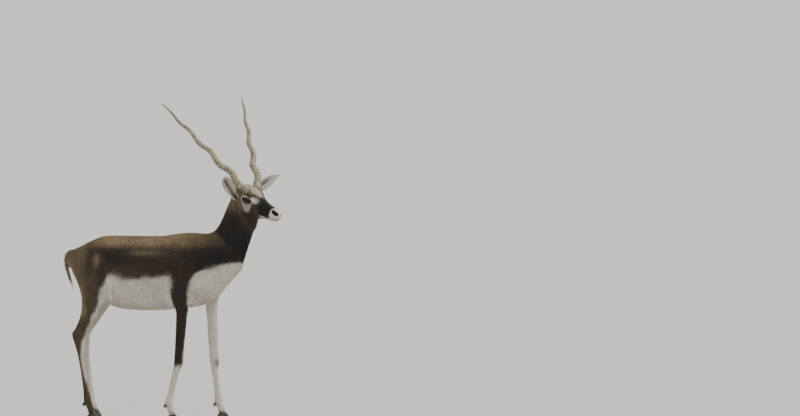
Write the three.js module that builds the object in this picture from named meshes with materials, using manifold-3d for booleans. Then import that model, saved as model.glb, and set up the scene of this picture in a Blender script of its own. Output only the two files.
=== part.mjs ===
import * as THREE from "three";
import { mergeVertices } from "three/addons/utils/BufferGeometryUtils.js";
import Module from "manifold-3d";

// An adult male blackbuck at life size, standing square behind and walking in front, with its
// head up and turned to its right. Millimetres; X runs forward, Y to the animal's left, Z up.

const wasm = await Module();
wasm.setup();

const GAP = 0.3; // clearance between two pieces that meet
const BBOX_CENTRE = new THREE.Vector2(-63, 84); // middle of the whole animal, seen from above

// The pose of the head: where the midpoint of the eyes is, and how the head is turned.
const EYE_LEVEL = 948;
const EYES_MIDPOINT = new THREE.Vector3(284, -40, EYE_LEVEL);
const HEAD_YAW = THREE.MathUtils.degToRad(-31); // turned to the right of the spine
const HEAD_PITCH = THREE.MathUtils.degToRad(15); // nose down

// The trunk from the buttocks to the point of the chest.
const TRUNK = [
  { x: -524, top: 714, bottom: 670, wide: 26 },
  { x: -508, top: 732, bottom: 625, wide: 58 },
  { x: -470, top: 748, bottom: 572, wide: 84 },
  { x: -420, top: 773, bottom: 532, wide: 96 },
  { x: -370, top: 789, bottom: 498, wide: 95 },
  { x: -300, top: 789, bottom: 470, wide: 92 },
  { x: -210, top: 788, bottom: 464, wide: 102 },
  { x: -120, top: 789, bottom: 468, wide: 104 },
  { x: -60, top: 798, bottom: 473, wide: 96 },
  { x: 0, top: 811, bottom: 480, wide: 87 },
  { x: 55, top: 804, bottom: 490, wide: 83 },
  { x: 112, top: 801, bottom: 512, wide: 78 },
  { x: 165, top: 785, bottom: 584, wide: 68 },
  { x: 210, top: 752, bottom: 628, wide: 52 },
  { x: 240, top: 712, bottom: 664, wide: 24 },
];
// Where the neck is parted from the torso, and from the head in the head's own frame.
const NECK_BASE = {
  centre: new THREE.Vector3(181, 0, 755),
  normal: new THREE.Vector3(0.618, 0, 0.787),
  wide: 300,
};
const NAPE = { centre: new THREE.Vector3(-62, 0, -30), normal: new THREE.Vector3(0.75, 0, 0.66), wide: 260 };
const TRUNK_WAIST = 0.47; // height of the widest line, as a share of the depth

// The neck, from inside the chest up to the back of the skull.
const NECK = [
  { x: 88, y: 0, z: 640, lead: 90, back: 84, wide: 60 },
  { x: 145, y: 0, z: 712, lead: 100, back: 90, wide: 68 },
  { x: 186, y: 0, z: 788, lead: 84, back: 80, wide: 63 },
  { x: 213, y: -3, z: 852, lead: 80, back: 76, wide: 58 },
  { x: 229, y: -8, z: 904, lead: 74, back: 70, wide: 52 },
  { x: 238, y: -14, z: 950, lead: 50, back: 55, wide: 44 },
];

// The head in its own frame: X towards the nose, Z up, origin midway between the eyes.
const HEAD = [
  { x: -112, top: 8, bottom: -34, wide: 16 },
  { x: -100, top: 28, bottom: -54, wide: 34 },
  { x: -72, top: 45, bottom: -72, wide: 44 },
  { x: -36, top: 53, bottom: -84, wide: 46 },
  { x: -4, top: 47, bottom: -85, wide: 46 },
  { x: 24, top: 34, bottom: -78, wide: 39 },
  { x: 56, top: 18, bottom: -68, wide: 30 },
  { x: 88, top: 7, bottom: -60, wide: 25 },
  { x: 114, top: 2, bottom: -57, wide: 24 },
  { x: 134, top: 0, bottom: -55, wide: 25 },
  { x: 150, top: -4, bottom: -50, wide: 21 },
  { x: 158, top: -14, bottom: -40, wide: 11 },
];
const HEAD_WAIST = 0.5;

const EYE_RADIUS = 16;
const EYE_CENTRE = new THREE.Vector3(2, 43, 0); // of the left eye, in the head's frame
const EYE_TURN = THREE.MathUtils.degToRad(22); // forward of straight out to the side
const LID_THICKNESS = 3.2;
const LID_OPENING = { length: 33, height: 19 };
const ORBIT = { along: 31, out: 15, up: 25 };
const NOSTRIL = { x: 150, y: 15, z: -15, along: 10, out: 6, up: 3.2, slope: -0.5 };
const MOUTH = { front: 168, corner: 92, level: -40, rise: 5, height: 1.6, depth: 3.5 };
// Fullness of the left cheek and lip; the right ones mirror them.
const CHEEK = { half: new THREE.Vector3(40, 15, 27), centre: new THREE.Vector3(-22, 33, -48) };
const LIP = { half: new THREE.Vector3(24, 9, 13), centre: new THREE.Vector3(134, 17, -24) };

// Horns: an open spiral round a straight axis, ringed nearly to the tip.
const HORN = {
  root: new THREE.Vector3(-17, 37, 37),
  // root to tip of each horn's axis in the head's frame; the left one stands a little steeper
  reach: { right: new THREE.Vector3(-377, -204, 275), left: new THREE.Vector3(-377, 215, 290) },
  thick: 15.5,
  tip: 2.6,
  coil: 7.5, // radius of the spiral near the root
  turns: 4.2,
  rings: 24,
  ringed: 0.86, // share of the length that has rings
  ridge: 1.9,
};

// Ears: a leaf rolled into a funnel at its root and opening into a cup.
// The left one is turned further forward.
const EAR = {
  root: new THREE.Vector3(-68, 44, -8),
  reach: { right: new THREE.Vector3(20, -113, 98), left: new THREE.Vector3(44, 114, 103) },
  mouth: { right: new THREE.Vector3(0.82, -0.1, -0.25), left: new THREE.Vector3(0.78, -0.35, 0) },
  thick: 3.2,
};
const EAR_LEAF = [
  { at: 0, radius: 14, spread: 2.75 },
  { at: 0.16, radius: 15.5, spread: 2.55 },
  { at: 0.32, radius: 20, spread: 1.95 },
  { at: 0.5, radius: 24, spread: 1.45 },
  { at: 0.68, radius: 25, spread: 1.25 },
  { at: 0.84, radius: 19, spread: 1.08 },
  { at: 0.95, radius: 11, spread: 0.9 },
  { at: 1, radius: 5, spread: 0.6 },
];

// Joints of each leg as [x, z]; the hooves stand on the ground at z = 0.
const LEGS = {
  fore_right: { side: -1, elbow: [-14, 508], knee: [-38, 256], fetlock: [-80, 86], coronet: [-65, 34] },
  fore_left: { side: 1, elbow: [79, 508], knee: [90, 252], fetlock: [110, 82], coronet: [128, 34] },
  hind_right: { side: -1, stifle: [-394, 556], hock: [-463, 364], fetlock: [-427, 88], coronet: [-409, 35] },
  hind_left: { side: 1, stifle: [-376, 556], hock: [-478, 364], fetlock: [-449, 90], coronet: [-431, 35] },
};
const LEG_CUT = { fore: 501, hind: 521 }; // height where a leg is parted from the trunk
const HOOF_MIDDLE = { fore: 60, hind: 67 }; // distance of each hoof from the midline
const SHOULDER_SWING = 0.35; // how far the shoulder follows its elbow, as a share
const CLAW = { length: 54, heel: -22, wide: 8, apart: 17.4, high: 40 };

// A closed form wrapped over a sphere's grid; place(share, angle) gives each point.
function wrap(rings, sides, place) {
  const geometry = new THREE.SphereGeometry(1, sides, rings);
  const position = geometry.getAttribute("position");
  for (let i = 0; i < position.count; i++) {
    const row = Math.floor(i / (sides + 1));
    const column = (i % (sides + 1)) % sides;
    const share = THREE.MathUtils.clamp((row - 1) / (rings - 2), 0, 1);
    const capped = row === 0 || row === rings;
    const point = place(share, (2 * Math.PI * column) / sides, capped);
    position.setXYZ(i, point.x, point.y, point.z);
  }
  return solid(geometry);
}

// A geometry as a solid, with its doubled vertices merged.
function solid(geometry) {
  const bare = geometry.clone();
  bare.deleteAttribute("normal");
  bare.deleteAttribute("uv");
  const merged = mergeVertices(bare, 1e-3);
  return new wasm.Manifold(
    new wasm.Mesh({
      numProp: 3,
      vertProperties: merged.getAttribute("position").array,
      triVerts: new Uint32Array(merged.index.array),
    }),
  );
}

function box(size, centre, quaternion = new THREE.Quaternion()) {
  const geometry = new THREE.BoxGeometry(size.x, size.y, size.z);
  return solid(geometry.applyQuaternion(quaternion).translate(centre.x, centre.y, centre.z));
}

// An ellipsoid with the given half sizes, turned and then placed.
function ellipsoid(half, centre, quaternion = new THREE.Quaternion(), fine = 8) {
  const geometry = new THREE.SphereGeometry(1, 2 * fine, fine).scale(half.x, half.y, half.z);
  return solid(geometry.applyQuaternion(quaternion).translate(centre.x, centre.y, centre.z));
}

// Smooth values between stations: returns a function of the distance given by key.
function smooth(stations, key) {
  const names = Object.keys(stations[0]);
  const values = stations.flatMap((station) => names.map((name) => station[name]));
  const places = stations.map((station) => station[key]);
  const curve = new THREE.CubicInterpolant(places, values, names.length);
  return (at) => {
    const found = curve.evaluate(at);
    return Object.fromEntries(names.map((name, i) => [name, found[i]]));
  };
}

// A form through stations {x, y, z, lead, back, wide}: lead is its half size towards up, back
// the half size the other way, and wide the half size across. The section is a superellipse,
// square to facing if that is given and to the form's own centre line if not.
function loft(stations, up, rings, sides, power = 1, facing = null) {
  let length = 0;
  const measured = stations.map((station, i) => {
    const before = stations[Math.max(0, i - 1)];
    length += Math.hypot(station.x - before.x, station.y - before.y, station.z - before.z);
    return { ...station, length };
  });
  const at = smooth(measured, "length");
  const centre = (distance) => {
    const station = at(THREE.MathUtils.clamp(distance, 0, length));
    return new THREE.Vector3(station.x, station.y, station.z);
  };
  const step = 0.01 * length;
  return wrap(rings, sides, (share, angle, capped) => {
    const distance = share * length;
    const station = at(distance);
    const point = centre(distance);
    if (capped) return point;
    const along = facing ?? centre(distance + step).sub(centre(distance - step)).normalize();
    const lead = up.clone().addScaledVector(along, -up.dot(along)).normalize();
    const across = along.clone().cross(lead);
    const cos = Math.cos(angle);
    const sin = Math.sin(angle);
    const bend = (value) => Math.sign(value) * Math.abs(value) ** power;
    point.addScaledVector(across, station.wide * bend(cos));
    return point.addScaledVector(lead, (sin > 0 ? station.lead : station.back) * bend(sin));
  });
}

// Stations given by their top and bottom, as loft wants them, with the whole form grown a little.
function level(stations, waist, grow = 0) {
  return stations.map(({ x, top, bottom, wide }, i) => {
    const z = bottom + waist * (top - bottom);
    const end = i === 0 ? -grow : i === stations.length - 1 ? grow : 0;
    return { x: x + end, y: 0, z, lead: top - z + grow, back: z - bottom + grow, wide: wide + grow };
  });
}

const FORWARD = new THREE.Vector3(1, 0, 0);
const UP = new THREE.Vector3(0, 0, 1);
const LEFT = new THREE.Vector3(0, 1, 0);
const DOWN = new THREE.Vector3(0, 0, -1);

// The matrix from the head's own frame to the animal's.
const headFrame = new THREE.Matrix4()
  .makeRotationZ(HEAD_YAW)
  .multiply(new THREE.Matrix4().makeRotationY(HEAD_PITCH))
  .setPosition(EYES_MIDPOINT);
const headTurn = new THREE.Quaternion().setFromRotationMatrix(headFrame);
const mirror = (vector, side) => new THREE.Vector3(vector.x, side * vector.y, vector.z);
const inHead = (vector) => vector.clone().applyMatrix4(headFrame);

// A solid made in the head's frame, carried to where the head is.
function onHead(made) {
  return made.transform(headFrame.elements);
}

function makeTrunk() {
  return loft(level(TRUNK, TRUNK_WAIST), UP, 24, 26, 0.94, FORWARD);
}

function makeNeck() {
  const top = FORWARD.clone().applyAxisAngle(UP, HEAD_YAW / 2);
  return loft(NECK, top, 14, 28, 0.95);
}

// The turn that points Z out of an eye's socket.
function eyeTurn(side) {
  const out = new THREE.Vector3(Math.sin(EYE_TURN), side * Math.cos(EYE_TURN), 0.06);
  const across = UP.clone().cross(out).normalize();
  const high = out.clone().normalize().cross(across);
  const basis = new THREE.Matrix4().makeBasis(across, high, out.normalize());
  return new THREE.Quaternion().setFromRotationMatrix(basis);
}

function makeEye(side, grow = 0) {
  const half = new THREE.Vector3().setScalar(EYE_RADIUS + grow);
  return ellipsoid(half, mirror(EYE_CENTRE, side));
}

// The almond between the lids: a prism where two cylinders cross, pointing out of the socket.
function makeLidOpening(side) {
  const { length, height } = LID_OPENING;
  const radius = (length * length + height * height) / (4 * height);
  const reach = 40;
  const arcs = [-1, 1].map((way) => {
    const arc = new THREE.CylinderGeometry(radius, radius, reach, 28);
    arc.rotateX(Math.PI / 2).translate(0, way * (radius - height / 2), reach / 2);
    arc.applyQuaternion(eyeTurn(side));
    const centre = mirror(EYE_CENTRE, side);
    return solid(arc.translate(centre.x, centre.y, centre.z));
  });
  return arcs[0].intersect(arcs[1]);
}

// The line of the closed mouth: a thin slab that runs back to the corner, cut only lip deep.
function makeMouthLine(muzzleCore) {
  const { front, corner, level: base, rise, height } = MOUTH;
  const line = new THREE.Shape();
  line.moveTo(front, base - height / 2);
  line.lineTo(front, base + height / 2);
  line.quadraticCurveTo((front + corner) / 2, base - rise, corner, base + rise + height / 4);
  line.lineTo(corner, base + rise - height / 4);
  line.quadraticCurveTo((front + corner) / 2, base - rise - height, front, base - height / 2);
  const reach = 80;
  const slab = new THREE.ExtrudeGeometry(line, { depth: reach, bevelEnabled: false, curveSegments: 8 });
  return solid(slab.rotateX(Math.PI / 2).translate(0, reach / 2, 0)).subtract(muzzleCore);
}

function makeNostril(side) {
  const { x, y, z, along, out, up, slope } = NOSTRIL;
  const turn = new THREE.Quaternion().setFromEuler(new THREE.Euler(0, -slope, -side * 0.5));
  return ellipsoid(new THREE.Vector3(along, out, up), new THREE.Vector3(x, side * y, z), turn, 7);
}

function makeHead() {
  let head = loft(level(HEAD, HEAD_WAIST), UP, 22, 24, 0.9, FORWARD);
  const core = loft(level(HEAD, HEAD_WAIST, -MOUTH.depth), UP, 16, 20, 0.9, FORWARD);
  for (const side of [-1, 1]) {
    const centre = mirror(EYE_CENTRE, side);
    const orbit = new THREE.Vector3(ORBIT.along, ORBIT.up, ORBIT.out);
    const lids = new THREE.Vector3().setScalar(EYE_RADIUS + LID_THICKNESS);
    head = head
      .add(ellipsoid(orbit, centre.clone().add(new THREE.Vector3(-3, -side * 3, 3)), eyeTurn(side)))
      .add(ellipsoid(lids, centre, new THREE.Quaternion(), 9))
      .add(ellipsoid(CHEEK.half, mirror(CHEEK.centre, side)))
      .add(ellipsoid(LIP.half, mirror(LIP.centre, side), new THREE.Quaternion(), 6));
  }
  for (const side of [-1, 1]) {
    head = head.subtract(makeEye(side, GAP)).subtract(makeLidOpening(side)).subtract(makeNostril(side));
  }
  return head.subtract(makeMouthLine(core));
}

// The centre of a horn's axis and spiral at a share of its length, in the head's frame.
function hornCentre(side, share) {
  const reach = (side < 0 ? HORN.reach.right : HORN.reach.left).clone();
  const out = mirror(LEFT, side);
  const lateral = out.addScaledVector(reach, -out.dot(reach) / reach.lengthSq()).normalize();
  const front = reach.clone().normalize().cross(lateral).multiplyScalar(side);
  const phase = Math.PI - 2 * Math.PI * HORN.turns * share;
  const coil = HORN.coil * (1 - share) ** 0.6 * Math.min(1, share * 12);
  return mirror(HORN.root, side)
    .addScaledVector(reach, share)
    .addScaledVector(lateral, coil * Math.cos(phase))
    .addScaledVector(front, coil * Math.sin(phase));
}

// One horn in the head's frame; its root sits in a socket.
function makeHorn(side, grow = 0) {
  const perRing = 2;
  const smoothRows = 8;
  const ringedRows = HORN.rings * perRing;
  const rows = ringedRows + smoothRows;
  return wrap(rows + 2, 10, (share, angle, capped) => {
    const row = Math.round(share * rows);
    const inRings = Math.min(1, row / ringedRows);
    const packed = inRings * (1.18 - 0.18 * inRings); // the rings are closer together higher up
    const past = Math.max(0, row - ringedRows) / smoothRows;
    const along = HORN.ringed * packed + (1 - HORN.ringed) * past - (row === 0 ? 0.002 * grow : 0);
    const point = hornCentre(side, along);
    if (capped) return point;
    const tangent = hornCentre(side, Math.min(1, along + 0.004)).sub(hornCentre(side, along - 0.004));
    tangent.normalize();
    const lead = UP.clone().addScaledVector(tangent, -UP.dot(tangent)).normalize();
    const across = tangent.clone().cross(lead);
    const ridge = past === 0 && row % perRing === 1 ? HORN.ridge * (1 - 0.5 * along) : 0;
    const radius = HORN.tip + (HORN.thick - HORN.tip) * (1 - along) ** 0.72 + ridge + grow;
    point.addScaledVector(across, radius * Math.cos(angle));
    return point.addScaledVector(lead, radius * Math.sin(angle));
  });
}

// One ear in the head's frame: a shell bent round the line from root to tip.
function makeEar(side, grow = 0) {
  const root = mirror(EAR.root, side);
  const word = side < 0 ? "right" : "left";
  const line = EAR.reach[word];
  const along = line.clone().normalize();
  const mouth = EAR.mouth[word].clone(); // the way the cup opens
  mouth.addScaledVector(along, -mouth.dot(along)).normalize();
  const across = mouth.clone().cross(along);
  const leaf = smooth(EAR_LEAF, "at");
  const middle = leaf(0.45).radius;
  return wrap(12, 20, (share, angle, capped) => {
    const { radius, spread } = leaf(share);
    const back = -0.35 * (radius - middle); // keeps the outer wall of the cup nearly straight
    const centre = root.clone().addScaledVector(line, share).addScaledVector(mouth, back);
    centre.addScaledVector(along, 2 * (share - 0.5) * 2 * grow);
    const outer = angle <= Math.PI;
    const turn = outer ? 1 - (2 * angle) / Math.PI : (2 * (angle - Math.PI)) / Math.PI - 1;
    const thin = Math.min(EAR.thick, 0.45 * radius) + grow;
    const wall = radius + (outer || Math.abs(turn) === 1 ? grow : -thin);
    const round = capped ? 0 : turn * (spread + (2 * grow) / radius);
    centre.addScaledVector(mouth, -(capped ? radius - thin / 2 : wall) * Math.cos(round));
    return centre.addScaledVector(across, (capped ? 0 : wall) * Math.sin(round));
  });
}

const between = (a, b, share) => [a[0] + share * (b[0] - a[0]), a[1] + share * (b[1] - a[1])];

function makeForeleg({ side, elbow, knee, fetlock, coronet }) {
  const standing = LEGS.fore_right.elbow[0]; // the right leg carries weight under its shoulder
  const swing = SHOULDER_SWING * (elbow[0] - standing);
  const row = ([x, z], y, lead, back, wide) => ({ x, y: side * y, z, lead, back, wide });
  const stations = [
    row([-18 + swing * 0.2, 752], 48, 34, 34, 14),
    row([6 + swing * 0.6, 690], 63, 56, 52, 24),
    row([26 + swing, 622], 68, 56, 64, 30),
    row([elbow[0] + 14, 562], 71, 40, 54, 31),
    row(elbow, 73, 30, 36, 28),
    row(between(elbow, knee, 0.22), 71, 27, 28, 23),
    row(between(elbow, knee, 0.5), 69, 25, 26, 19.5),
    row(between(elbow, knee, 0.8), 65, 21, 20, 16.5),
    row(knee, 63, 20, 19, 18),
    row(between(knee, fetlock, 0.16), 62, 15, 17, 14),
    row(between(knee, fetlock, 0.5), 61, 12, 14, 11.5),
    row(between(knee, fetlock, 0.82), 60, 12.5, 15, 12.5),
    row(fetlock, 60, 15, 19, 15.5),
    row(between(fetlock, coronet, 0.5), 60, 13, 15, 14),
    row(coronet, 60, 18, 18, 17),
  ];
  return loft(stations, FORWARD, 36, 14, 0.95, DOWN);
}

function makeHindLeg({ side, stifle, hock, fetlock, coronet }) {
  const row = ([x, z], y, lead, back, wide) => ({ x, y: side * y, z, lead, back, wide });
  const stations = [
    row([stifle[0] + 6, 738], 46, 66, 66, 24),
    row([stifle[0] - 6, 680], 66, 84, 92, 36),
    row([stifle[0] - 8, 616], 72, 82, 86, 38),
    row(stifle, 77, 70, 72, 35),
    row(between(stifle, hock, 0.3), 80, 60, 39, 29),
    row(between(stifle, hock, 0.6), 77, 45, 28, 22),
    row(between(stifle, hock, 0.84), 73, 33, 30, 18),
    row(hock, 71, 29, 31, 18.5),
    row(between(hock, fetlock, 0.12), 70, 24, 25, 16),
    row(between(hock, fetlock, 0.28), 69, 16, 19, 13.5),
    row(between(hock, fetlock, 0.6), 68, 13, 15, 12),
    row(between(hock, fetlock, 0.86), 67, 13, 16, 13),
    row(fetlock, 67, 15, 20, 16),
    row(between(fetlock, coronet, 0.5), 67, 13, 15, 14),
    row(coronet, 67, 18, 18, 17),
  ];
  return loft(stations, FORWARD, 38, 14, 0.95, DOWN);
}

// The pair of small claws behind a fetlock.
function makeDewclaws({ side, fetlock }, y) {
  const half = new THREE.Vector3(6, 5, 9);
  const lean = new THREE.Quaternion().setFromAxisAngle(LEFT, 0.5);
  const place = (way) => new THREE.Vector3(fetlock[0] - 17, side * y + way * 8, fetlock[1] - 9);
  return ellipsoid(half, place(-1), lean, 5).add(ellipsoid(half, place(1), lean, 5));
}

// The two claws of a hoof, cut level with the coronet and flat on the ground.
function makeClaws({ side, coronet }, y) {
  const profile = smooth(
    [
      { at: 0, high: 0.55, wide: 0.62, in: 0 },
      { at: 0.12, high: 0.9, wide: 0.9, in: 0 },
      { at: 0.4, high: 1.3, wide: 1, in: 0 },
      { at: 0.66, high: 1.0, wide: 0.92, in: 0.05 },
      { at: 0.86, high: 0.48, wide: 0.66, in: 0.16 },
      { at: 1, high: 0.14, wide: 0.22, in: 0.26 },
    ],
    "at",
  );
  return [-1, 1].map((way) => {
    const claw = wrap(9, 10, (share, angle, capped) => {
      const { high, wide, in: inward } = profile(share);
      const x = coronet[0] + CLAW.heel + share * CLAW.length;
      const middle = side * y + way * (CLAW.apart / 2 - inward * CLAW.wide);
      const reach = capped ? 0 : CLAW.wide * wide;
      const z = CLAW.high * high * (capped ? 0.3 : Math.max(0, Math.sin(angle)) ** 0.8);
      return new THREE.Vector3(x, middle - reach * Math.cos(angle), z);
    });
    return claw.subtract(above(coronet[1] - GAP));
  });
}

function makeTail() {
  const stations = [
    { x: -480, y: 0, z: 718, lead: 16, back: 14, wide: 18 },
    { x: -508, y: 0, z: 717, lead: 14, back: 12, wide: 18 },
    { x: -531, y: 0, z: 701, lead: 10, back: 10, wide: 17 },
    { x: -535, y: 0, z: 667, lead: 8, back: 8, wide: 15 },
    { x: -527, y: 0, z: 627, lead: 7, back: 7, wide: 12 },
    { x: -514, y: 0, z: 586, lead: 4, back: 4, wide: 6 },
    { x: -508, y: 0, z: 568, lead: 1.5, back: 1.5, wide: 2 },
  ];
  const out = new THREE.Vector3(0.9, 0, -0.45);
  return loft(stations, out, 13, 12, 1);
}

// A thin cut of the given size at centre, square to normal.
function slit(centre, normal, wide, deep = wide) {
  const turn = new THREE.Quaternion().setFromUnitVectors(UP, normal.clone().normalize());
  return box(new THREE.Vector3(wide, deep, GAP), centre, turn);
}

// Everything above a level plane.
function above(height) {
  return box(new THREE.Vector3(2000, 600, 2000), new THREE.Vector3(0, 0, height + 1000));
}

// The closed pieces that a thin cut leaves, lowest first, without slivers.
function parted(made) {
  return made
    .decompose()
    .filter((piece) => piece.volume() > 2000)
    .sort((a, b) => a.boundingBox().min[2] - b.boundingBox().min[2]);
}

// What is left of a piece beside the torso, clear of it by GAP on the side of the given direction.
function clearOf(torso, piece, direction) {
  const shift = direction.setLength(1.5 * GAP);
  return piece.subtract(torso.translate(shift.x, shift.y, shift.z));
}

// Each leg with its dewclaws, still in one piece from inside the trunk to the coronet.
function makeLegs() {
  return Object.entries(LEGS).map(([name, leg]) => {
    const fore = name.startsWith("fore");
    const middle = fore ? HOOF_MIDDLE.fore : HOOF_MIDDLE.hind;
    const whole = (fore ? makeForeleg(leg) : makeHindLeg(leg)).add(makeDewclaws(leg, middle));
    const height = fore ? LEG_CUT.fore : LEG_CUT.hind;
    return { name, leg, whole, middle, joint: fore ? leg.knee : leg.hock, height };
  });
}

// The lower and the upper piece of a leg, parted below the knee or the hock.
function partLeg({ leg, whole, middle, joint, height }, torso) {
  const below = 12; // of the joint's middle
  const cut = slit(new THREE.Vector3(joint[0], leg.side * middle, joint[1] - below), UP, 90, 76);
  const free = whole.subtract(above(height - GAP)).subtract(cut);
  return parted(clearOf(torso, free, new THREE.Vector3(0, leg.side, -1)));
}

// The torso, neck and head, cut apart where a person would name them.
function makeBody(legs) {
  let whole = makeTrunk().add(makeNeck()).add(onHead(makeHead()));
  for (const { whole: made, height } of legs) whole = whole.add(made.intersect(above(height)));
  for (const side of [-1, 1]) {
    whole = whole.subtract(onHead(makeHorn(side, GAP))).subtract(onHead(makeEar(side, GAP)));
  }
  const neckBase = slit(NECK_BASE.centre, NECK_BASE.normal, NECK_BASE.wide);
  const nape = slit(inHead(NAPE.centre), NAPE.normal.clone().applyQuaternion(headTurn), NAPE.wide);
  return parted(whole.subtract(neckBase).subtract(nape));
}

const COAT = { color: 0x35291f, roughness: 0.85, metalness: 0 };
const PALE = { color: 0xd9d2c2, roughness: 0.85, metalness: 0 };
const KERATIN = { color: 0x6f6350, roughness: 0.6, metalness: 0 };
const HOOF = { color: 0x1d1916, roughness: 0.5, metalness: 0 };
const EYE = { color: 0x120c08, roughness: 0.1, metalness: 0 };

// A solid's surface as a geometry.
function surface(made) {
  const { numProp, numVert, vertProperties, triVerts } = made.getMesh();
  const points = new Float32Array(3 * numVert);
  for (let i = 0; i < numVert; i++) points.set(vertProperties.subarray(i * numProp, i * numProp + 3), 3 * i);
  return new THREE.BufferGeometry()
    .setAttribute("position", new THREE.BufferAttribute(points, 3))
    .setIndex(new THREE.BufferAttribute(triVerts, 1));
}

// A solid as a named mesh about the middle of the animal, with the slivers of its cuts left out.
function asMesh(name, made, finish) {
  const placed = made.translate(-BBOX_CENTRE.x, -BBOX_CENTRE.y, 0);
  const closed = solid(surface(placed)).decompose();
  const geometry = surface(closed.reduce((most, piece) => (piece.volume() > most.volume() ? piece : most)));
  geometry.computeVertexNormals();
  const mesh = new THREE.Mesh(geometry, new THREE.MeshStandardMaterial(finish));
  mesh.name = name;
  return mesh;
}

const blackbuck = new THREE.Group();
const legs = makeLegs();
const [torso, neck, head] = makeBody(legs);
blackbuck.add(asMesh("torso", torso, COAT), asMesh("neck", neck, COAT), asMesh("head", head, COAT));
blackbuck.add(asMesh("tail", clearOf(torso, makeTail(), new THREE.Vector3(-1, 0, 1)), COAT));
for (const [side, word] of [[-1, "right"], [1, "left"]]) {
  blackbuck.add(
    asMesh(`eye_${word}`, onHead(makeEye(side)), EYE),
    asMesh(`ear_${word}`, onHead(makeEar(side)), COAT),
    asMesh(`horn_${word}`, onHead(makeHorn(side)), KERATIN),
  );
}
for (const whole of legs) {
  const { name, leg, middle } = whole;
  const [lower, upper] = partLeg(whole, torso);
  const [inner, outer] = makeClaws(leg, middle);
  blackbuck.add(
    asMesh(`leg_${name}_upper`, upper, COAT),
    asMesh(`leg_${name}_lower`, lower, PALE),
    asMesh(`claw_${name}_a`, inner, HOOF),
    asMesh(`claw_${name}_b`, outer, HOOF),
  );
}

export default blackbuck;
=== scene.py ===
"""A male blackbuck at life size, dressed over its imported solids.

Metres, in the frame of the solids. "Stance" coordinates below have their origin on the ground
under the withers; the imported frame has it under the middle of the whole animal.
"""

import math

import bmesh
import bpy
import numpy as np
from mathutils import Matrix, Vector, noise
from mathutils.bvhtree import BVHTree


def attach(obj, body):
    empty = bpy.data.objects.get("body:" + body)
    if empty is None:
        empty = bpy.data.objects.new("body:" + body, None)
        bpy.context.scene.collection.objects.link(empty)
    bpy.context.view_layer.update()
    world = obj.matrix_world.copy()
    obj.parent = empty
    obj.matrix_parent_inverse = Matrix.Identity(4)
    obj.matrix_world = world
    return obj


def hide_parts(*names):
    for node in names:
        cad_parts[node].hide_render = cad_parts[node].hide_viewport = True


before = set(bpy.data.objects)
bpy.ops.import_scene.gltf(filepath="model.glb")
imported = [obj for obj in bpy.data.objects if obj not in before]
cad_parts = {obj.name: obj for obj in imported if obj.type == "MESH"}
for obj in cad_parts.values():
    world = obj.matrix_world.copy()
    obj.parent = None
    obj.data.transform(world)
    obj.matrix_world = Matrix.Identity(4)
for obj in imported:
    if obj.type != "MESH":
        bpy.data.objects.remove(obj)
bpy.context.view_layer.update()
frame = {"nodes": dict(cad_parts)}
nodes = frame["nodes"]
random = np.random.default_rng(7)

STANCE = Vector((0.063, -0.084, 0.0))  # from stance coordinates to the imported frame
HEAD_PLACE = Vector((0.284, -0.040, 0.948)) + STANCE  # midway between the eyes
HEAD = (
    Matrix.Translation(HEAD_PLACE)
    @ Matrix.Rotation(math.radians(-31), 4, "Z")
    @ Matrix.Rotation(math.radians(15), 4, "Y")
)
SIDES = {"right": -1, "left": 1}
LEGS = {
    "fore_right": {"side": -1, "y": 0.060, "knee": (-0.038, 0.256), "fetlock": (-0.080, 0.086), "coronet": (-0.065, 0.034)},
    "fore_left": {"side": 1, "y": 0.060, "knee": (0.090, 0.252), "fetlock": (0.110, 0.082), "coronet": (0.128, 0.034)},
    "hind_right": {"side": -1, "y": 0.067, "knee": (-0.463, 0.364), "fetlock": (-0.427, 0.088), "coronet": (-0.409, 0.035)},
    "hind_left": {"side": 1, "y": 0.067, "knee": (-0.478, 0.364), "fetlock": (-0.449, 0.090), "coronet": (-0.431, 0.035)},
}
EYE_CENTRE = (0.002, 0.043, 0.0)
EYE_RADIUS = 0.016
EYE_TURN = math.radians(22)  # forward of straight out to the side


# ---- camera, floor and light

PHOTO = (800, 416)  # pixels
PIXELS_PER_METRE = 236.0
DISTANCE = 15.0
AZIMUTH = math.radians(12)
ELEVATION = math.radians(3.5)
REFERENCE = Vector((0.0, 0.0, 0.9)) + STANCE  # shows at REFERENCE_PIXEL in the photo
REFERENCE_PIXEL = (190.0, 209.0)


def make_camera():
    away = Vector(
        (
            math.sin(AZIMUTH) * math.cos(ELEVATION),
            -math.cos(AZIMUTH) * math.cos(ELEVATION),
            math.sin(ELEVATION),
        )
    )
    right = Vector((math.cos(AZIMUTH), math.sin(AZIMUTH), 0.0))
    up = right.cross(-away)
    aim = (
        REFERENCE
        + right * ((PHOTO[0] / 2 - REFERENCE_PIXEL[0]) / PIXELS_PER_METRE)
        - up * ((PHOTO[1] / 2 - REFERENCE_PIXEL[1]) / PIXELS_PER_METRE)
    )
    place = REFERENCE + away * DISTANCE
    data = bpy.data.cameras.new("camera")
    data.sensor_width = 36.0
    data.lens = PIXELS_PER_METRE * (aim - place).length * data.sensor_width / PHOTO[0]
    data.clip_end = 3000.0
    camera = bpy.data.objects.new("camera", data)
    camera.location = place
    camera.rotation_euler = (aim - place).to_track_quat("-Z", "Y").to_euler()
    bpy.context.scene.collection.objects.link(camera)
    bpy.context.scene.camera = camera


def make_sun(name, towards, energy, spread, colour):
    data = bpy.data.lights.new(name, "SUN")
    data.energy = energy
    data.angle = math.radians(spread)
    data.color = colour
    lamp = bpy.data.objects.new(name, data)
    lamp.rotation_euler = Vector(towards).to_track_quat("-Z", "Y").to_euler()
    bpy.context.scene.collection.objects.link(lamp)


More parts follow.
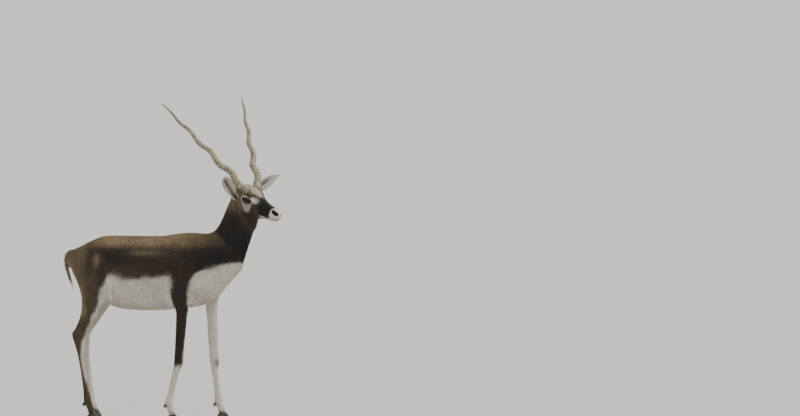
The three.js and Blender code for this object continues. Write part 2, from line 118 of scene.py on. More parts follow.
def make_studio():
    world = bpy.data.worlds.new("studio")
    world.use_nodes = True
    world.node_tree.nodes["Background"].inputs["Color"].default_value = (0.965, 0.965, 0.96, 1.0)
    world.node_tree.nodes["Background"].inputs["Strength"].default_value = 0.90
    bpy.context.scene.world = world
    make_sun("key", (-0.72, -0.30, -0.85), 3.2, 14.0, (1.0, 0.955, 0.88))
    make_sun("fill", (-0.25, 0.9, -0.45), 0.7, 50.0, (1.0, 0.98, 0.95))
    mesh = bpy.data.meshes.new("floor")
    floor = bmesh.new()
    bmesh.ops.create_grid(floor, x_segments=1, y_segments=1, size=1500.0)
    floor.to_mesh(mesh)
    floor.free()
    floor = bpy.data.objects.new("floor", mesh)
    bpy.context.scene.collection.objects.link(floor)
    material = new_material("studio_floor")
    shader = material.node_tree.nodes["Principled BSDF"]
    shader.inputs["Base Color"].default_value = (0.53, 0.53, 0.525, 1.0)
    shader.inputs["Roughness"].default_value = 1.0
    shader.inputs["Specular IOR Level"].default_value = 0.0
    mesh.materials.append(material)


# ---- helpers for meshes and materials


def new_material(name):
    material = bpy.data.materials.new(name)
    material.use_nodes = True
    return material


def finish_piece(name, made, material, replaced, smooth=True):
    """A bmesh as an object of the model, in place of the solids it stands for."""
    mesh = bpy.data.meshes.new(name)
    made.to_mesh(mesh)
    made.free()
    return finish_mesh(name, mesh, material, replaced, smooth)


def finish_mesh(name, mesh, material, replaced, smooth=True):
    piece = bpy.data.objects.new(name, mesh)
    bpy.context.scene.collection.objects.link(piece)
    mesh.materials.append(material)
    mesh.polygons.foreach_set("use_smooth", [smooth] * len(mesh.polygons))
    mesh.update()
    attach(piece, "root")
    if replaced:
        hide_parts(*replaced)
    return piece


def smoothstep(low, high, value):
    share = np.clip((value - low) / (high - low), 0.0, 1.0)
    return share * share * (3.0 - 2.0 * share)


def bump(points, centre, size, power=2.0):
    """1 at a centre, falling to 0 outside an ellipsoid of the given half sizes."""
    away = (((points - np.array(centre)) / np.array(size)) ** 2).sum(axis=1)
    return np.exp(-(away ** (power / 2.0)))


def table(at, places, values):
    return np.interp(at, places, values)


class Surface:
    """A mesh's vertices as arrays, with the averages and normals that its neighbours give."""

    def __init__(self, mesh):
        self.mesh = mesh
        count = len(mesh.vertices)
        self.points = np.empty(3 * count)
        mesh.vertices.foreach_get("co", self.points)
        self.points = self.points.reshape(-1, 3)
        edges = np.empty(2 * len(mesh.edges), dtype=np.int64)
        mesh.edges.foreach_get("vertices", edges)
        edges = edges.reshape(-1, 2)
        self.a = np.concatenate([edges[:, 0], edges[:, 1]])
        self.b = np.concatenate([edges[:, 1], edges[:, 0]])
        self.degree = np.maximum(np.bincount(self.a, minlength=count), 1)

    def average(self, values):
        """The mean of each vertex's neighbours."""
        columns = values.reshape(len(values), -1).T
        means = [
            np.bincount(self.a, weights=column[self.b], minlength=len(values)) / self.degree
            for column in columns
        ]
        return np.stack(means, axis=1).reshape(values.shape)

    def relax(self, times, strength):
        """Smooths without shrinking: each step in is followed by a slightly larger step out."""
        for _ in range(times):
            for step in (0.50, -0.53):
                self.points += step * strength[:, None] * (self.average(self.points) - self.points)

    def melt(self, times, strength):
        """Smooths hollows full and ridges away, as over a joint between two forms."""
        for _ in range(times):
            self.points += 0.5 * strength[:, None] * (self.average(self.points) - self.points)

    def widen(self, mask, reach):
        """A mask with a margin that falls off over a number of edges."""
        for _ in range(reach):
            near = np.zeros(len(mask))
            np.maximum.at(near, self.a, mask[self.b])
            mask = np.maximum(mask, near * (1.0 - 1.0 / reach))
        return self.spread(mask, 3)

    def seams(self, owners, reach):
        """1 where vertices of different owners meet, falling to 0 over a number of edges."""
        seam = np.zeros(len(self.points))
        seam[self.a[owners[self.a] != owners[self.b]]] = 1.0
        return self.widen(seam, reach)

    def heal(self, where):
        """Melts pits and spikes: places that bend far more sharply than the skin round them."""
        bend = ((self.average(self.points) - self.points) * self.normals()).sum(axis=1)
        sharp = np.abs(bend - self.spread(bend, 8))
        self.melt(45, np.clip(1.5 * self.widen(smoothstep(0.0002, 0.0005, sharp) * where, 5), 0.0, 1.0))

    def spread(self, values, times):
        for _ in range(times):
            values = 0.5 * values + 0.5 * self.average(values)
        return values

    def write(self):
        self.mesh.vertices.foreach_set("co", self.points.ravel())
        self.mesh.update()

    def normals(self):
        self.write()
        normals = np.empty(3 * len(self.points))
        self.mesh.vertex_normals.foreach_get("vector", normals)
        return normals.reshape(-1, 3)


def to_stance(points):
    return points - np.array(STANCE)


def to_head(points):
    back = np.array(HEAD.inverted())
    return points @ back[:3, :3].T + back[:3, 3]


def head_direction(vector):
    return np.array(HEAD.to_3x3() @ Vector(vector))


# ---- the skin

FLESH = [
    name
    for name in sorted(nodes)
    if name.startswith(("torso", "neck", "head", "tail", "ear", "leg"))
]
UPPER_LEGS = [name for name in FLESH if name.endswith("_upper")]
LOWER_LEGS = [name for name in FLESH if name.endswith("_lower")]
LIMBS = ["torso", "neck", "head", "ear", "tail", "leg_fore_l", "leg_fore_r", "leg_hind_l", "leg_hind_r"]
LIMB_OF = {name: LIMBS.index(next(limb for limb in LIMBS if name.startswith(limb))) for name in FLESH}
LIMB_OF.update({name: LIMBS.index("head") for name in FLESH if name.startswith("ear")})
FORELEGS = [name for name in FLESH if name.startswith("leg_fore")]
HIND_LEGS = [name for name in FLESH if name.startswith("leg_hind")]
SKIN_GRID = 0.0018
SKIN_TRIANGLES = 190000


def grown(name):
    """How far a solid is grown before the solids are joined; the trunk's forms must melt together."""
    if name in ("torso", "neck") or name in UPPER_LEGS:
        return 0.0032
    return 0.0009 if name.startswith("ear") else 0.0006


def join_flesh():
    """The solids of flesh as one mesh, each grown a little so that they run into each other."""
    joined = bmesh.new()
    for name in FLESH:
        made = bmesh.new()
        made.from_mesh(nodes[name].data)
        bmesh.ops.remove_doubles(made, verts=made.verts, dist=1e-6)
        bmesh.ops.recalc_face_normals(made, faces=made.faces)
        for vertex in made.verts:
            vertex.co += grown(name) * vertex.normal
        copy = bpy.data.meshes.new("flesh_copy")
        made.to_mesh(copy)
        made.free()
        joined.from_mesh(copy)
        bpy.data.meshes.remove(copy)
    return joined


def flesh_finder():
    corners = []
    faces = []
    owner = []
    for number, name in enumerate(FLESH):
        mesh = nodes[name].data
        first = len(corners)
        corners.extend(vertex.co.copy() for vertex in mesh.vertices)
        for polygon in mesh.polygons:
            faces.append([first + i for i in polygon.vertices])
            owner.append(number)
    return BVHTree.FromPolygons(corners, faces), np.array(owner)


def remesh(mesh, size):
    """The outer surface of a mesh on an even grid."""
    stand_in = bpy.data.objects.new("remesh", mesh)
    bpy.context.scene.collection.objects.link(stand_in)
    modifier = stand_in.modifiers.new("grid", "REMESH")
    modifier.mode = "VOXEL"
    modifier.voxel_size = size
    modifier.use_smooth_shade = True
    shaped = stand_in.evaluated_get(bpy.context.evaluated_depsgraph_get())
    made = bpy.data.meshes.new_from_object(shaped)
    bpy.data.objects.remove(stand_in)
    return made


def keep_largest(mesh):
    """Drops every loose scrap that the remesh leaves inside."""
    count = len(mesh.vertices)
    edges = np.empty(2 * len(mesh.edges), dtype=np.int64)
    mesh.edges.foreach_get("vertices", edges)
    edges = edges.reshape(-1, 2)
    label = np.arange(count)
    while True:
        low = np.minimum(label[edges[:, 0]], label[edges[:, 1]])
        before = label.copy()
        np.minimum.at(label, edges[:, 0], low)
        np.minimum.at(label, edges[:, 1], low)
        label = label[label]
        if np.array_equal(before, label):
            break
    largest = np.bincount(label).argmax()
    made = bmesh.new()
    made.from_mesh(mesh)
    scraps = [vertex for vertex in made.verts if label[vertex.index] != largest]
    bmesh.ops.delete(made, geom=scraps, context="VERTS")
    made.to_mesh(mesh)
    made.free()


def regions_of(points):
    """For each point, the number of the nearest solid of flesh."""
    finder, owner = flesh_finder()
    return np.array([owner[finder.find_nearest(point)[2]] for point in points.tolist()])


def region_mask(regions, *starts):
    wanted = [i for i, name in enumerate(FLESH) if name.startswith(starts)]
    return np.isin(regions, wanted).astype(float)


# Muscles, bones and hollows of the body: centre and half sizes in stance coordinates for the
# right side, and how far the skin stands out there, in metres.
BODY_FORMS = [
    ("shoulder blade", (0.030, -0.080, 0.730), (0.045, 0.05, 0.070), 0.006),
    ("blade's ridge", (0.050, -0.085, 0.735), (0.012, 0.05, 0.060), 0.003),
    ("point of the shoulder", (0.140, -0.070, 0.620), (0.035, 0.04, 0.035), 0.005),
    ("upper arm", (0.030, -0.095, 0.580), (0.050, 0.04, 0.040), 0.005),
    ("elbow", (-0.045, -0.090, 0.520), (0.020, 0.04, 0.022), 0.006),
    ("behind the elbow", (-0.085, -0.090, 0.560), (0.030, 0.04, 0.060), -0.005),
    ("ribs", (-0.150, -0.100, 0.620), (0.110, 0.05, 0.090), 0.004),
    ("flank hollow", (-0.290, -0.095, 0.650), (0.035, 0.05, 0.060), -0.008),
    ("hip bone", (-0.350, -0.070, 0.745), (0.026, 0.04, 0.020), 0.007),
    ("haunch", (-0.415, -0.090, 0.660), (0.055, 0.05, 0.070), 0.005),
    ("pin bone", (-0.500, -0.045, 0.715), (0.020, 0.03, 0.020), 0.005),
    ("behind the haunch", (-0.470, -0.090, 0.600), (0.022, 0.05, 0.060), -0.004),
    ("stifle", (-0.350, -0.095, 0.560), (0.035, 0.05, 0.040), 0.006),
    ("groin fold", (-0.318, -0.085, 0.520), (0.020, 0.05, 0.030), -0.004),
    ("furrow of the neck", (0.170, -0.060, 0.760), (0.018, 0.03, 0.110), -0.004),
]


def groove(points, start, end, wide):
    """1 along a line between two places, falling to 0 at the given distance from it."""
    start, end = np.array(start), np.array(end)
    share = np.clip((points - start) @ (end - start) / ((end - start) @ (end - start)), 0.0, 1.0)
    away = np.linalg.norm(points - start - share[:, None] * (end - start), axis=1)
    return np.exp(-((away / wide) ** 2)) * np.sin(math.pi * np.clip(share, 0.05, 0.95))


def flank_fold(stance):
    """The fold of loose skin between the belly and the thigh."""
    both = np.stack([stance[:, 0], np.abs(stance[:, 1]), stance[:, 2]], axis=1)
    return groove(both, (-0.312, 0.092, 0.590), (-0.337, 0.080, 0.470), 0.0065)


def shape_body(surface):
    """Stands muscles and bones out of the trunk, alike on both sides."""
    stance = to_stance(surface.points)
    mirrored = stance * np.array([1.0, -1.0, 1.0])
    height = np.zeros(len(stance))
    for _, centre, size, out in BODY_FORMS:
        height += out * (bump(stance, centre, size) + bump(mirrored, centre, size))
    height -= 0.006 * flank_fold(stance)
    spine = bump(stance * np.array([1.0, 1.0, 0.0]), (-0.2, 0.0, 0.0), (0.3, 0.012, 1.0))
    height += 0.002 * spine * smoothstep(0.74, 0.78, stance[:, 2])
    surface.points += surface.normals() * height[:, None]


def shape_legs(surface):
    """Bones, tendons and the hollows between them on the lower legs."""
    stance = to_stance(surface.points)
    for name, leg in LEGS.items():
        side = leg["side"]
        joint = np.array([leg["knee"][0], side * (leg["y"] + 0.003), leg["knee"][1]])
        ankle = np.array([leg["fetlock"][0], side * leg["y"], leg["fetlock"][1]])
        shank = ankle - joint
        height = np.zeros(len(stance))
        for way in (-1, 1):
            for share, back, out in ((0.35, 0.004, -0.0025), (0.6, 0.003, -0.0028), (0.15, 0.006, -0.002)):
                centre = joint + share * shank + np.array([-back, way * 0.013, 0.0])
                height += out * bump(stance, centre, (0.005, 0.007, 0.035))
        if name.startswith("fore"):
            height += 0.003 * bump(stance, joint + np.array([0.018, 0, 0.004]), (0.012, 0.014, 0.022))
        else:
            height += 0.005 * bump(stance, joint + np.array([-0.030, 0, 0.012]), (0.014, 0.012, 0.020))
            for way in (-1, 1):
                centre = joint + np.array([-0.012, way * 0.017, 0.030])
                height += -0.004 * bump(stance, centre, (0.008, 0.007, 0.035))
        height += 0.002 * bump(stance, ankle, (0.016, 0.02, 0.014))
        surface.points += surface.normals() * height[:, None]


def shape_face(surface):
    """Brow, cheek and muzzle forms, nostrils and the line of the mouth."""
    face = to_head(surface.points)
    both = np.stack([face[:, 0], np.abs(face[:, 1]), face[:, 2]], axis=1)
    height = 0.004 * bump(both, (-0.004, 0.036, 0.024), (0.020, 0.010, 0.007))
    height += -0.003 * bump(both, (0.034, 0.036, -0.004), (0.012, 0.012, 0.010))
    height += 0.003 * bump(both, (-0.020, 0.042, -0.050), (0.030, 0.02, 0.020))
    height += -0.003 * bump(both, (0.050, 0.030, -0.022), (0.035, 0.012, 0.012))
    height += 0.002 * bump(both, (0.128, 0.022, -0.030), (0.020, 0.012, 0.008))
    height += 0.0025 * bump(both, (0.146, 0.018, -0.006), (0.012, 0.008, 0.005))
    height += -0.0012 * bump(both, (0.157, 0.0, -0.028), (0.008, 0.0030, 0.010))
    height += -0.0025 * mouth_line(face)
    surface.points += surface.normals() * height[:, None]
    surface.melt(25, np.clip(1.6 * nostril_share(face, 3.0), 0.0, 1.0))
    share = nostril_share(face)
    for side in SIDES.values():
        inward = head_direction((-0.35, -side, 0.10))
        surface.points += 0.0105 * (share * (side * face[:, 1] > 0))[:, None] * inward


def nostril_share(face, grow=1.0):
    """1 in the slot of each nostril, which slants down to the front."""
    x = face[:, 0] - 0.1415
    side = np.abs(face[:, 1]) - 0.0175
    z = face[:, 2] + 0.0150 + 0.35 * x
    away = (x / 0.0108) ** 2 + (side / 0.012) ** 2 + (z / 0.0050) ** 2
    return np.exp(-((away / grow) ** 2))


def mouth_line(face, grow=1.0):
    """1 along the line between the lips, from the front of the muzzle back to its corner."""
    x, side, z = face[:, 0], np.abs(face[:, 1]), face[:, 2]
    line = -0.0400 - 0.10 * (x - 0.13) + 0.005 * smoothstep(0.15, 0.165, x)
    return np.exp(-(((z - line) / (grow * 0.0016)) ** 2)) * smoothstep(0.088, 0.100, x) * (side < 0.04)


def coat_depth(surface, regions):
    """How deep the skin lies under the tips of the coat."""
    depth = 0.0030 * region_mask(regions, "torso", "neck", "tail")
    depth += 0.0022 * region_mask(regions, *UPPER_LEGS)
    depth += 0.0014 * region_mask(regions, *LOWER_LEGS)
    depth += 0.0010 * region_mask(regions, "head")
    depth += 0.0004 * region_mask(regions, "ear")
    depth += np.array([grown(name) - 0.0005 for name in FLESH])[regions]
    return surface.spread(depth, 12)


def make_skin():
    """The solids of flesh as one skin without seams, shaped, and let in under the coat's tips."""
    joined = join_flesh()
    mesh = bpy.data.meshes.new("skin")
    joined.to_mesh(mesh)
    joined.free()
    mesh = remesh(mesh, SKIN_GRID)
    keep_largest(mesh)
    surface = Surface(mesh)
    surface.relax(5, np.ones(len(surface.points)))
    surface.write()
    mesh = thin_skin(mesh, surface.points)
    surface = Surface(mesh)
    regions = regions_of(surface.points)
    face = to_head(surface.points)
    trunk = region_mask(regions, "torso", "neck", *UPPER_LEGS)
    back_of_head = region_mask(regions, "head") * smoothstep(-0.03, -0.07, face[:, 0])
    soft = surface.spread(trunk + 0.7 * back_of_head, 12)
    surface.relax(30, np.clip(soft, 0.0, 1.0))
    surface.relax(20, region_mask(regions, "ear"))
    surface.melt(5, region_mask(regions, "ear"))
    limbs = np.array([LIMB_OF[name] for name in FLESH])[regions]
    smooth_hide = np.clip(soft + region_mask(regions, *LOWER_LEGS), 0.0, 1.0)
    surface.heal(smooth_hide)
    surface.melt(150, surface.seams(limbs, 13) * np.clip(soft, 0.0, 1.0))
    stance = to_stance(surface.points)
    for deep_fold in ((0.128, 0.080, 0.600), (0.024, 0.090, 0.585), (0.118, -0.080, 0.600)):
        surface.melt(120, bump(stance, deep_fold, (0.026, 0.045, 0.026), 4.0))
    for low, high in (((0.122, 0.085, 0.585), (0.034, 0.090, 0.730)), ((0.058, -0.090, 0.560), (0.085, -0.085, 0.700))):
        surface.melt(220, np.clip(2.0 * groove(stance, low, high, 0.030), 0.0, 1.0))
    for _ in range(3):
        surface.heal(smooth_hide)
    shape_body(surface)
    shape_legs(surface)
    shape_face(surface)
    depth = coat_depth(surface, regions)
    surface.points -= surface.normals() * depth[:, None]
    surface.relax(2, np.full(len(depth), 0.4))
    surface.write()
    return mesh, surface, regions


def thin_skin(mesh, points):
    """The skin with larger faces on the trunk and legs, and its head as fine as before."""
    stand_in = bpy.data.objects.new("thin", mesh)
    bpy.context.scene.collection.objects.link(stand_in)
    face = to_head(points)
    fine = (face[:, 0] > -0.10) & (np.abs(face[:, 1]) < 0.20) & (face[:, 2] > -0.10)
    group = stand_in.vertex_groups.new(name="coarse")
    group.add(np.nonzero(~fine)[0].tolist(), 1.0, "REPLACE")
    modifier = stand_in.modifiers.new("fewer", "DECIMATE")
    modifier.vertex_group = "coarse"
    modifier.vertex_group_factor = 10.0
    modifier.ratio = min(1.0, SKIN_TRIANGLES / (2.0 * len(mesh.polygons)))
    shaped = stand_in.evaluated_get(bpy.context.evaluated_depsgraph_get())
    made = bpy.data.meshes.new_from_object(shaped)
    bpy.data.objects.remove(stand_in)
    return made


# ---- markings with painted highlights and shade, the lie of the coat and its lengths

FLANK_X = [-0.335, -0.305, -0.283, -0.240, -0.197, -0.153, -0.110, -0.075, -0.058]
FLANK_Z = [0.634, 0.626, 0.617, 0.609, 0.613, 0.617, 0.619, 0.626, 0.634]
CHEST_X = [0.012, 0.020, 0.030, 0.045, 0.063, 0.106, 0.149, 0.200, 0.245]
CHEST_Z = [0.560, 0.595, 0.617, 0.639, 0.647, 0.656, 0.673, 0.680, 0.682]
HIND_Z = [0.062, 0.092, 0.134, 0.177, 0.219, 0.261, 0.304, 0.346, 0.388, 0.431, 0.452, 0.486, 0.516, 0.558, 0.588, 0.622, 0.66]
HIND_X = [-0.397, -0.410, -0.423, -0.436, -0.449, -0.455, -0.456, -0.447, -0.432, -0.412, -0.403, -0.381, -0.373, -0.364, -0.347, -0.334, -0.30]
FORE_Z = [0.20, 0.245, 0.256, 0.30, 0.36, 0.42, 0.50, 0.55, 0.60]
FORE_FRONT = [-0.050, -0.040, -0.024, -0.018, -0.010, -0.003, 0.005, 0.008, 0.02]


def ragged(points, scale, amount):
    """A wavering offset for the edge of a marking."""
    return amount * np.array([noise.noise(Vector(point * scale)) for point in points])


REAR_Z = [0.30, 0.36, 0.42, 0.48, 0.55, 0.62, 0.68, 0.75]
REAR_X = [-0.478, -0.487, -0.462, -0.452, -0.463, -0.488, -0.512, -0.530]


def body_marks_and_painted_light(stance, surface, regions, normals):
    """White, tan and black shares of the coat on the body, with painted highlights on the ribs, hip and withers and
    painted shade in the flank hollow and along the fold in front of the thigh.
    """
    x, y, z = stance.T
    side = np.abs(y)
    edge = ragged(stance, 45.0, 0.005) + ragged(stance, 140.0, 0.0025)
    wide = 0.0045
    low = np.where(x > 0.012, table(x, CHEST_X, CHEST_Z), table(x, FLANK_X, FLANK_Z))
    dark = smoothstep(low - wide, low + wide, z + edge)
    outer = smoothstep(0.035, 0.070, side) * smoothstep(-0.35, 0.15, np.sign(y) * normals[:, 1])
    # down the outside of the forelegs; the left one stands further forward
    shift = 0.100 * smoothstep(0.60, 0.46, z) * smoothstep(0.0, 0.04, y)
    own = x - shift + edge
    front = table(z, FORE_Z, FORE_FRONT)
    stripe = smoothstep(-0.066, -0.056, own) * smoothstep(front + 0.008, front - 0.002, own)
    stripe *= smoothstep(0.236, 0.258, z + edge) * outer * smoothstep(0.70, 0.64, z)
    # the thigh and down the outside of the hind legs
    hind = smoothstep(0.006, -0.006, x + edge - table(z, HIND_Z, HIND_X))
    hind *= np.where(z < 0.60, outer, 1.0) * (x < -0.2)
    fore_leg = region_mask(regions, *FORELEGS)
    hind_leg = region_mask(regions, *HIND_LEGS)
    neck = region_mask(regions, "neck")
    dark = np.maximum.reduce([dark, stripe, hind, neck])
    dark = np.where((fore_leg > 0.5) & (z < 0.47), stripe, dark)
    dark = np.where(hind_leg > 0.5, hind, dark)
    under_tail = smoothstep(0.050, 0.025, x - table(z, REAR_Z, REAR_X)) * smoothstep(0.040, 0.022, side + edge)
    under_tail *= smoothstep(0.690, 0.660, z) * smoothstep(0.48, 0.54, z) * (region_mask(regions, "tail") < 0.5)
    dark *= 1.0 - under_tail
    dark = np.maximum(dark, dark_feet(stance))
    # lighter brown along the back, on the rump and down the back of the thigh
    along = table(x, [-0.52, -0.42, -0.36, -0.08, 0.02, 0.12, 0.20], [0.55, 0.65, 1.0, 1.0, 0.70, 0.50, 0.10])
    tan = along * smoothstep(0.726, 0.768, z + 0.5 * edge)
    tan = np.maximum(tan, 0.52 * smoothstep(-0.395, -0.450, x + edge) * smoothstep(0.40, 0.56, z))
    rear = table(z, REAR_Z, REAR_X)
    tan = np.maximum(tan, 0.90 * smoothstep(0.050, 0.012, x - rear) * smoothstep(0.38, 0.50, z) * hind)
    # painted highlight: the pale smear over the point of the hip, laid in as tan
    tan = np.maximum(tan, 0.80 * bump(stance, (-0.379, 0.0, 0.684), (0.014, 1.0, 0.030)))
    # painted highlight: a pale band of light along the ribs under the brown of the back, used as tan and white below
    rib_highlight = bump(stance, (-0.165, 0.0, 0.722), (0.085, 1.0, 0.011))
    # painted highlight on the point of the hip, used as white below
    hip_highlight = bump(stance, (-0.379, 0.0, 0.690), (0.011, 1.0, 0.024))
    tan = np.maximum(tan, 0.45 * rib_highlight)
    # painted highlight on the top of the withers, laid in as tan
    tan = np.maximum(tan, 0.40 * bump(stance, (-0.018, 0.0, 0.765), (0.030, 1.0, 0.025)))
    tan = np.maximum(tan, 0.22 * smoothstep(-0.10, -0.30, x) * smoothstep(0.68, 0.62, z))
    tan = np.maximum(tan, 0.30 * region_mask(regions, "tail"))
    tan *= 1.0 + ragged(stance, 22.0, 0.30)
    ink = 0.9 * bump(stance, (0.135, 0.0, 0.705), (0.115, 1.0, 0.075)) + 0.75 * neck * smoothstep(0.93, 0.86, z)
    # painted shade in the hollow of the flank in front of the hip, laid in as black
    ink = np.maximum(ink, 0.65 * bump(stance, (-0.300, 0.0, 0.705), (0.055, 1.0, 0.028)))
    # painted shade at the front of the thigh, by its fold to the belly, laid in as black
    ink = np.maximum(ink, 0.60 * bump(stance, (-0.352, 0.0, 0.590), (0.022, 1.0, 0.055)))
    ink = np.maximum(ink, 0.25 * stripe)
    tan = np.maximum(tan, 0.55 * neck * smoothstep(0.86, 0.93, z) * smoothstep(0.24, 0.19, x))
    # painted shade along the fold between the belly and the thigh: the white is cut back there
    white = (1.0 - dark) * (1.0 - 0.70 * flank_fold(stance))
    # painted highlights on the ribs and the hip, laid in as a little white
    white = np.maximum(white, 0.09 * rib_highlight + 0.10 * hip_highlight)
    return np.stack([white, np.clip(tan, 0, 1), np.clip(ink, 0, 1)], axis=1)


def dark_feet(stance):
    """Dark marks on the knees, the backs of the fetlocks and round the tops of the hooves."""
    dark = np.zeros(len(stance))
    for name, leg in LEGS.items():
        middle = leg["side"] * leg["y"]
        if name.startswith("fore"):
            knee = (leg["knee"][0] + 0.016, middle, leg["knee"][1] - 0.002)
            dark = np.maximum(dark, 0.70 * bump(stance, knee, (0.014, 0.020, 0.018)))
        pastern = (leg["fetlock"][0] - 0.014, middle, leg["fetlock"][1] - 0.012)
        dark = np.maximum(dark, 0.75 * bump(stance, pastern, (0.014, 0.018, 0.014)))
        coronet = (leg["coronet"][0], middle, leg["coronet"][1])
        dark = np.maximum(dark, 0.75 * bump(stance, coronet, (0.034, 0.030, 0.014)))
    return dark


def head_marks_and_painted_shade(face, regions, normals):
    """White, tan and black shares of the coat on the head, in the head's own frame, with painted shade under the lower
    lip.
    """
    x, y, z = face.T
    side = np.abs(y)
    both = np.stack([x, side, z], axis=1)
    edge = ragged(face, 90.0, 0.004)
    lean = x + 0.006 + 0.30 * np.minimum(z, 0.0)
    around = ((lean + edge) / np.where(lean > 0, 0.026, 0.023)) ** 2
    around += (np.where(z > 0, z / 0.0195, z / 0.050)) ** 2
    ring = smoothstep(1.25, 0.65, around) * smoothstep(0.020, 0.028, side)
    tear = bump(both, (0.030, 0.032, 0.006), (0.020, 0.02, 0.013), 3.0)
    muzzle = smoothstep(0.113, 0.122, x + edge - 0.25 * np.maximum(0, z + 0.02))
    chin = smoothstep(-0.044, -0.052, z + edge) * smoothstep(0.055, 0.085, x)
    white = np.maximum.reduce([0.46 * ring, 0.95 * tear, muzzle, 0.85 * chin])
    crown = smoothstep(0.026, 0.038, z + 0.25 * x + edge) * smoothstep(0.062, 0.030, x)
    white = np.maximum(white, 0.42 * crown)
    tan = np.maximum(crown, 0.60 * smoothstep(0.01, -0.035, x) * smoothstep(-0.085, -0.02, z))
    tan = np.maximum(tan, 0.35 * bump(both, (0.085, 0.020, -0.030), (0.035, 0.02, 0.015)))
    ink = smoothstep(0.034, 0.056, x + edge + 0.4 * np.minimum(z, 0.0)) * (1.0 - muzzle)
    brow = bump(both, (0.034, 0.030, 0.0215), (0.030, 0.016, 0.0050))
    socket = ((x - 0.003) / 0.0190) ** 2 + (z / 0.0122) ** 2
    rim = smoothstep(1.25, 0.92, socket) * smoothstep(0.028, 0.034, side)
    pad = smoothstep(0.152, 0.158, x) * smoothstep(-0.038, -0.030, z) * smoothstep(0.012, 0.006, side)
    # the black along the mouth line is partly the dark lips and partly painted shade under the lower lip
    lips = smoothstep(0.25, 0.70, mouth_line(face, 1.4))
    nostril = smoothstep(0.06, 0.40, nostril_share(face, 2.2))
    black = np.maximum.reduce([rim, nostril, 0.30 * pad, 0.85 * lips, 0.7 * brow])
    keep = 1.0 - black
    return np.stack([white * keep, np.clip(tan * keep, 0, 1), np.clip(np.maximum(ink, black), 0, 1)], axis=1)


EAR_ROOT = Vector((-0.068, 0.044, -0.008))
EAR_REACH = {"right": Vector((0.020, -0.113, 0.098)), "left": Vector((0.044, 0.114, 0.103))}
EAR_MOUTH = {"right": Vector((0.82, -0.10, -0.25)), "left": Vector((0.78, -0.35, 0.0))}  # the cup opens so
EAR_SHARE = [0.0, 0.16, 0.32, 0.50, 0.68, 0.84, 0.95, 1.0]
EAR_HALF = [0.0137, 0.0148, 0.0166, 0.0159, 0.0144, 0.0098, 0.0050, 0.0020]  # half its width


def ear_place(face, word):
    """For points on one ear: the share from root to tip, and from the midline to the rim."""
    side = SIDES[word]
    root = np.array((EAR_ROOT.x, side * EAR_ROOT.y, EAR_ROOT.z))
    reach = EAR_REACH[word]
    along = np.array(reach.normalized())
    across = np.cross(np.array(EAR_MOUTH[word]), along)
    across /= np.linalg.norm(across)
    share = (face - root) @ along / reach.length
    return share, np.abs((face - root) @ across) / table(share, EAR_SHARE, EAR_HALF)


def ear_marks_and_painted_shade(face, regions, normals):
    """The ears: brown outside, white along the rims within, and painted shade deep in the cup, where the white is cut
    back and black laid in.
    """
    inner = inner_ear(normals, regions)
    white = np.zeros(len(face))
    for word in SIDES:
        share, out = ear_place(face, word)
        edge = ragged(face, 120.0, 0.12)
        rim = np.maximum(smoothstep(0.30, 0.62, out + edge), smoothstep(0.62, 0.85, share))
        here = region_mask(regions, f"ear_{word}")
        # inside the cup only the rims get full white; the middle is kept dim as painted shade
        white += here * (inner * (0.25 + 0.75 * rim) + 0.55 * (1.0 - inner) * smoothstep(0.85, 1.0, out))
    tan = 0.75 * (1.0 - inner) + 0.30 * inner
    # painted shade deep in the cup, laid in as black
    ink = 0.50 * inner * (1.0 - white)
    return np.stack([white, tan, np.clip(ink, 0, 1)], axis=1)


def inner_ear(normals, regions):
    """1 inside the cup of an ear, where the skin faces the way the cup opens."""
    inner = np.zeros(len(normals))
    for word in SIDES:
        mouth = EAR_MOUTH[word]
        along = EAR_REACH[word].normalized()
        opening = head_direction((mouth - along * mouth.dot(along)).normalized())
        inner += region_mask(regions, f"ear_{word}") * smoothstep(-0.1, 0.25, normals @ opening)
    return inner


def all_marks_and_painted_light(surface, regions, normals):
    """The shares of white, light brown and black at each point of the skin, painted highlights and shade among them."""
    stance = to_stance(surface.points)
    face = to_head(surface.points)
    marks = body_marks_and_painted_light(stance, surface, regions, normals)
    head = head_marks_and_painted_shade(face, regions, normals)
    on_head = region_mask(regions, "head")
    nape = smoothstep(-0.075, -0.020, face[:, 0] + 0.6 * (face[:, 2] + 0.03) + ragged(face, 40.0, 0.012))
    throat = on_head * (1.0 - nape)
    marks[:, 0] *= 1.0 - on_head
    marks[:, 1] = np.maximum(marks[:, 1], 0.45 * throat * smoothstep(-0.06, -0.01, face[:, 2]))
    share = (on_head * nape)[:, None]
    marks = marks * (1.0 - share) + head * share
    on_ear = region_mask(regions, "ear")[:, None]
    return marks * (1.0 - on_ear) + ear_marks_and_painted_shade(face, regions, normals) * on_ear


def lie_of_coat(surface, regions, normals):
    """The way the hair lies at each point of the skin, as a unit vector along the skin."""
    stance = to_stance(surface.points)
    way = np.zeros_like(stance)
    way += np.array([-1.0, 0.0, -0.30]) * region_mask(regions, "torso")[:, None]
    neck = region_mask(regions, "neck")[:, None]
    way += np.array([-0.55, 0.0, -1.0]) * neck
    way += np.array([0.1, 0.0, -1.0]) * region_mask(regions, "leg", "tail")[:, None]
    rump = (smoothstep(-0.40, -0.50, stance[:, 0]) * region_mask(regions, "torso"))[:, None]
    way = way * (1.0 - rump) + np.array([-0.25, 0.0, -1.0]) * rump
    way += head_direction((-1.0, 0.0, -0.18)) * region_mask(regions, "head")[:, None]
    for word in SIDES:
        way += head_direction(EAR_REACH[word]) * 8.0 * region_mask(regions, f"ear_{word}")[:, None]
    way = surface.spread(way, 110)
    swirl = np.array([noise.noise_vector(Vector(point) * 9.0) for point in surface.points.tolist()])
    way += 0.15 * swirl
    way -= normals * (way * normals).sum(axis=1)[:, None]
    return way / np.maximum(np.linalg.norm(way, axis=1), 1e-9)[:, None]


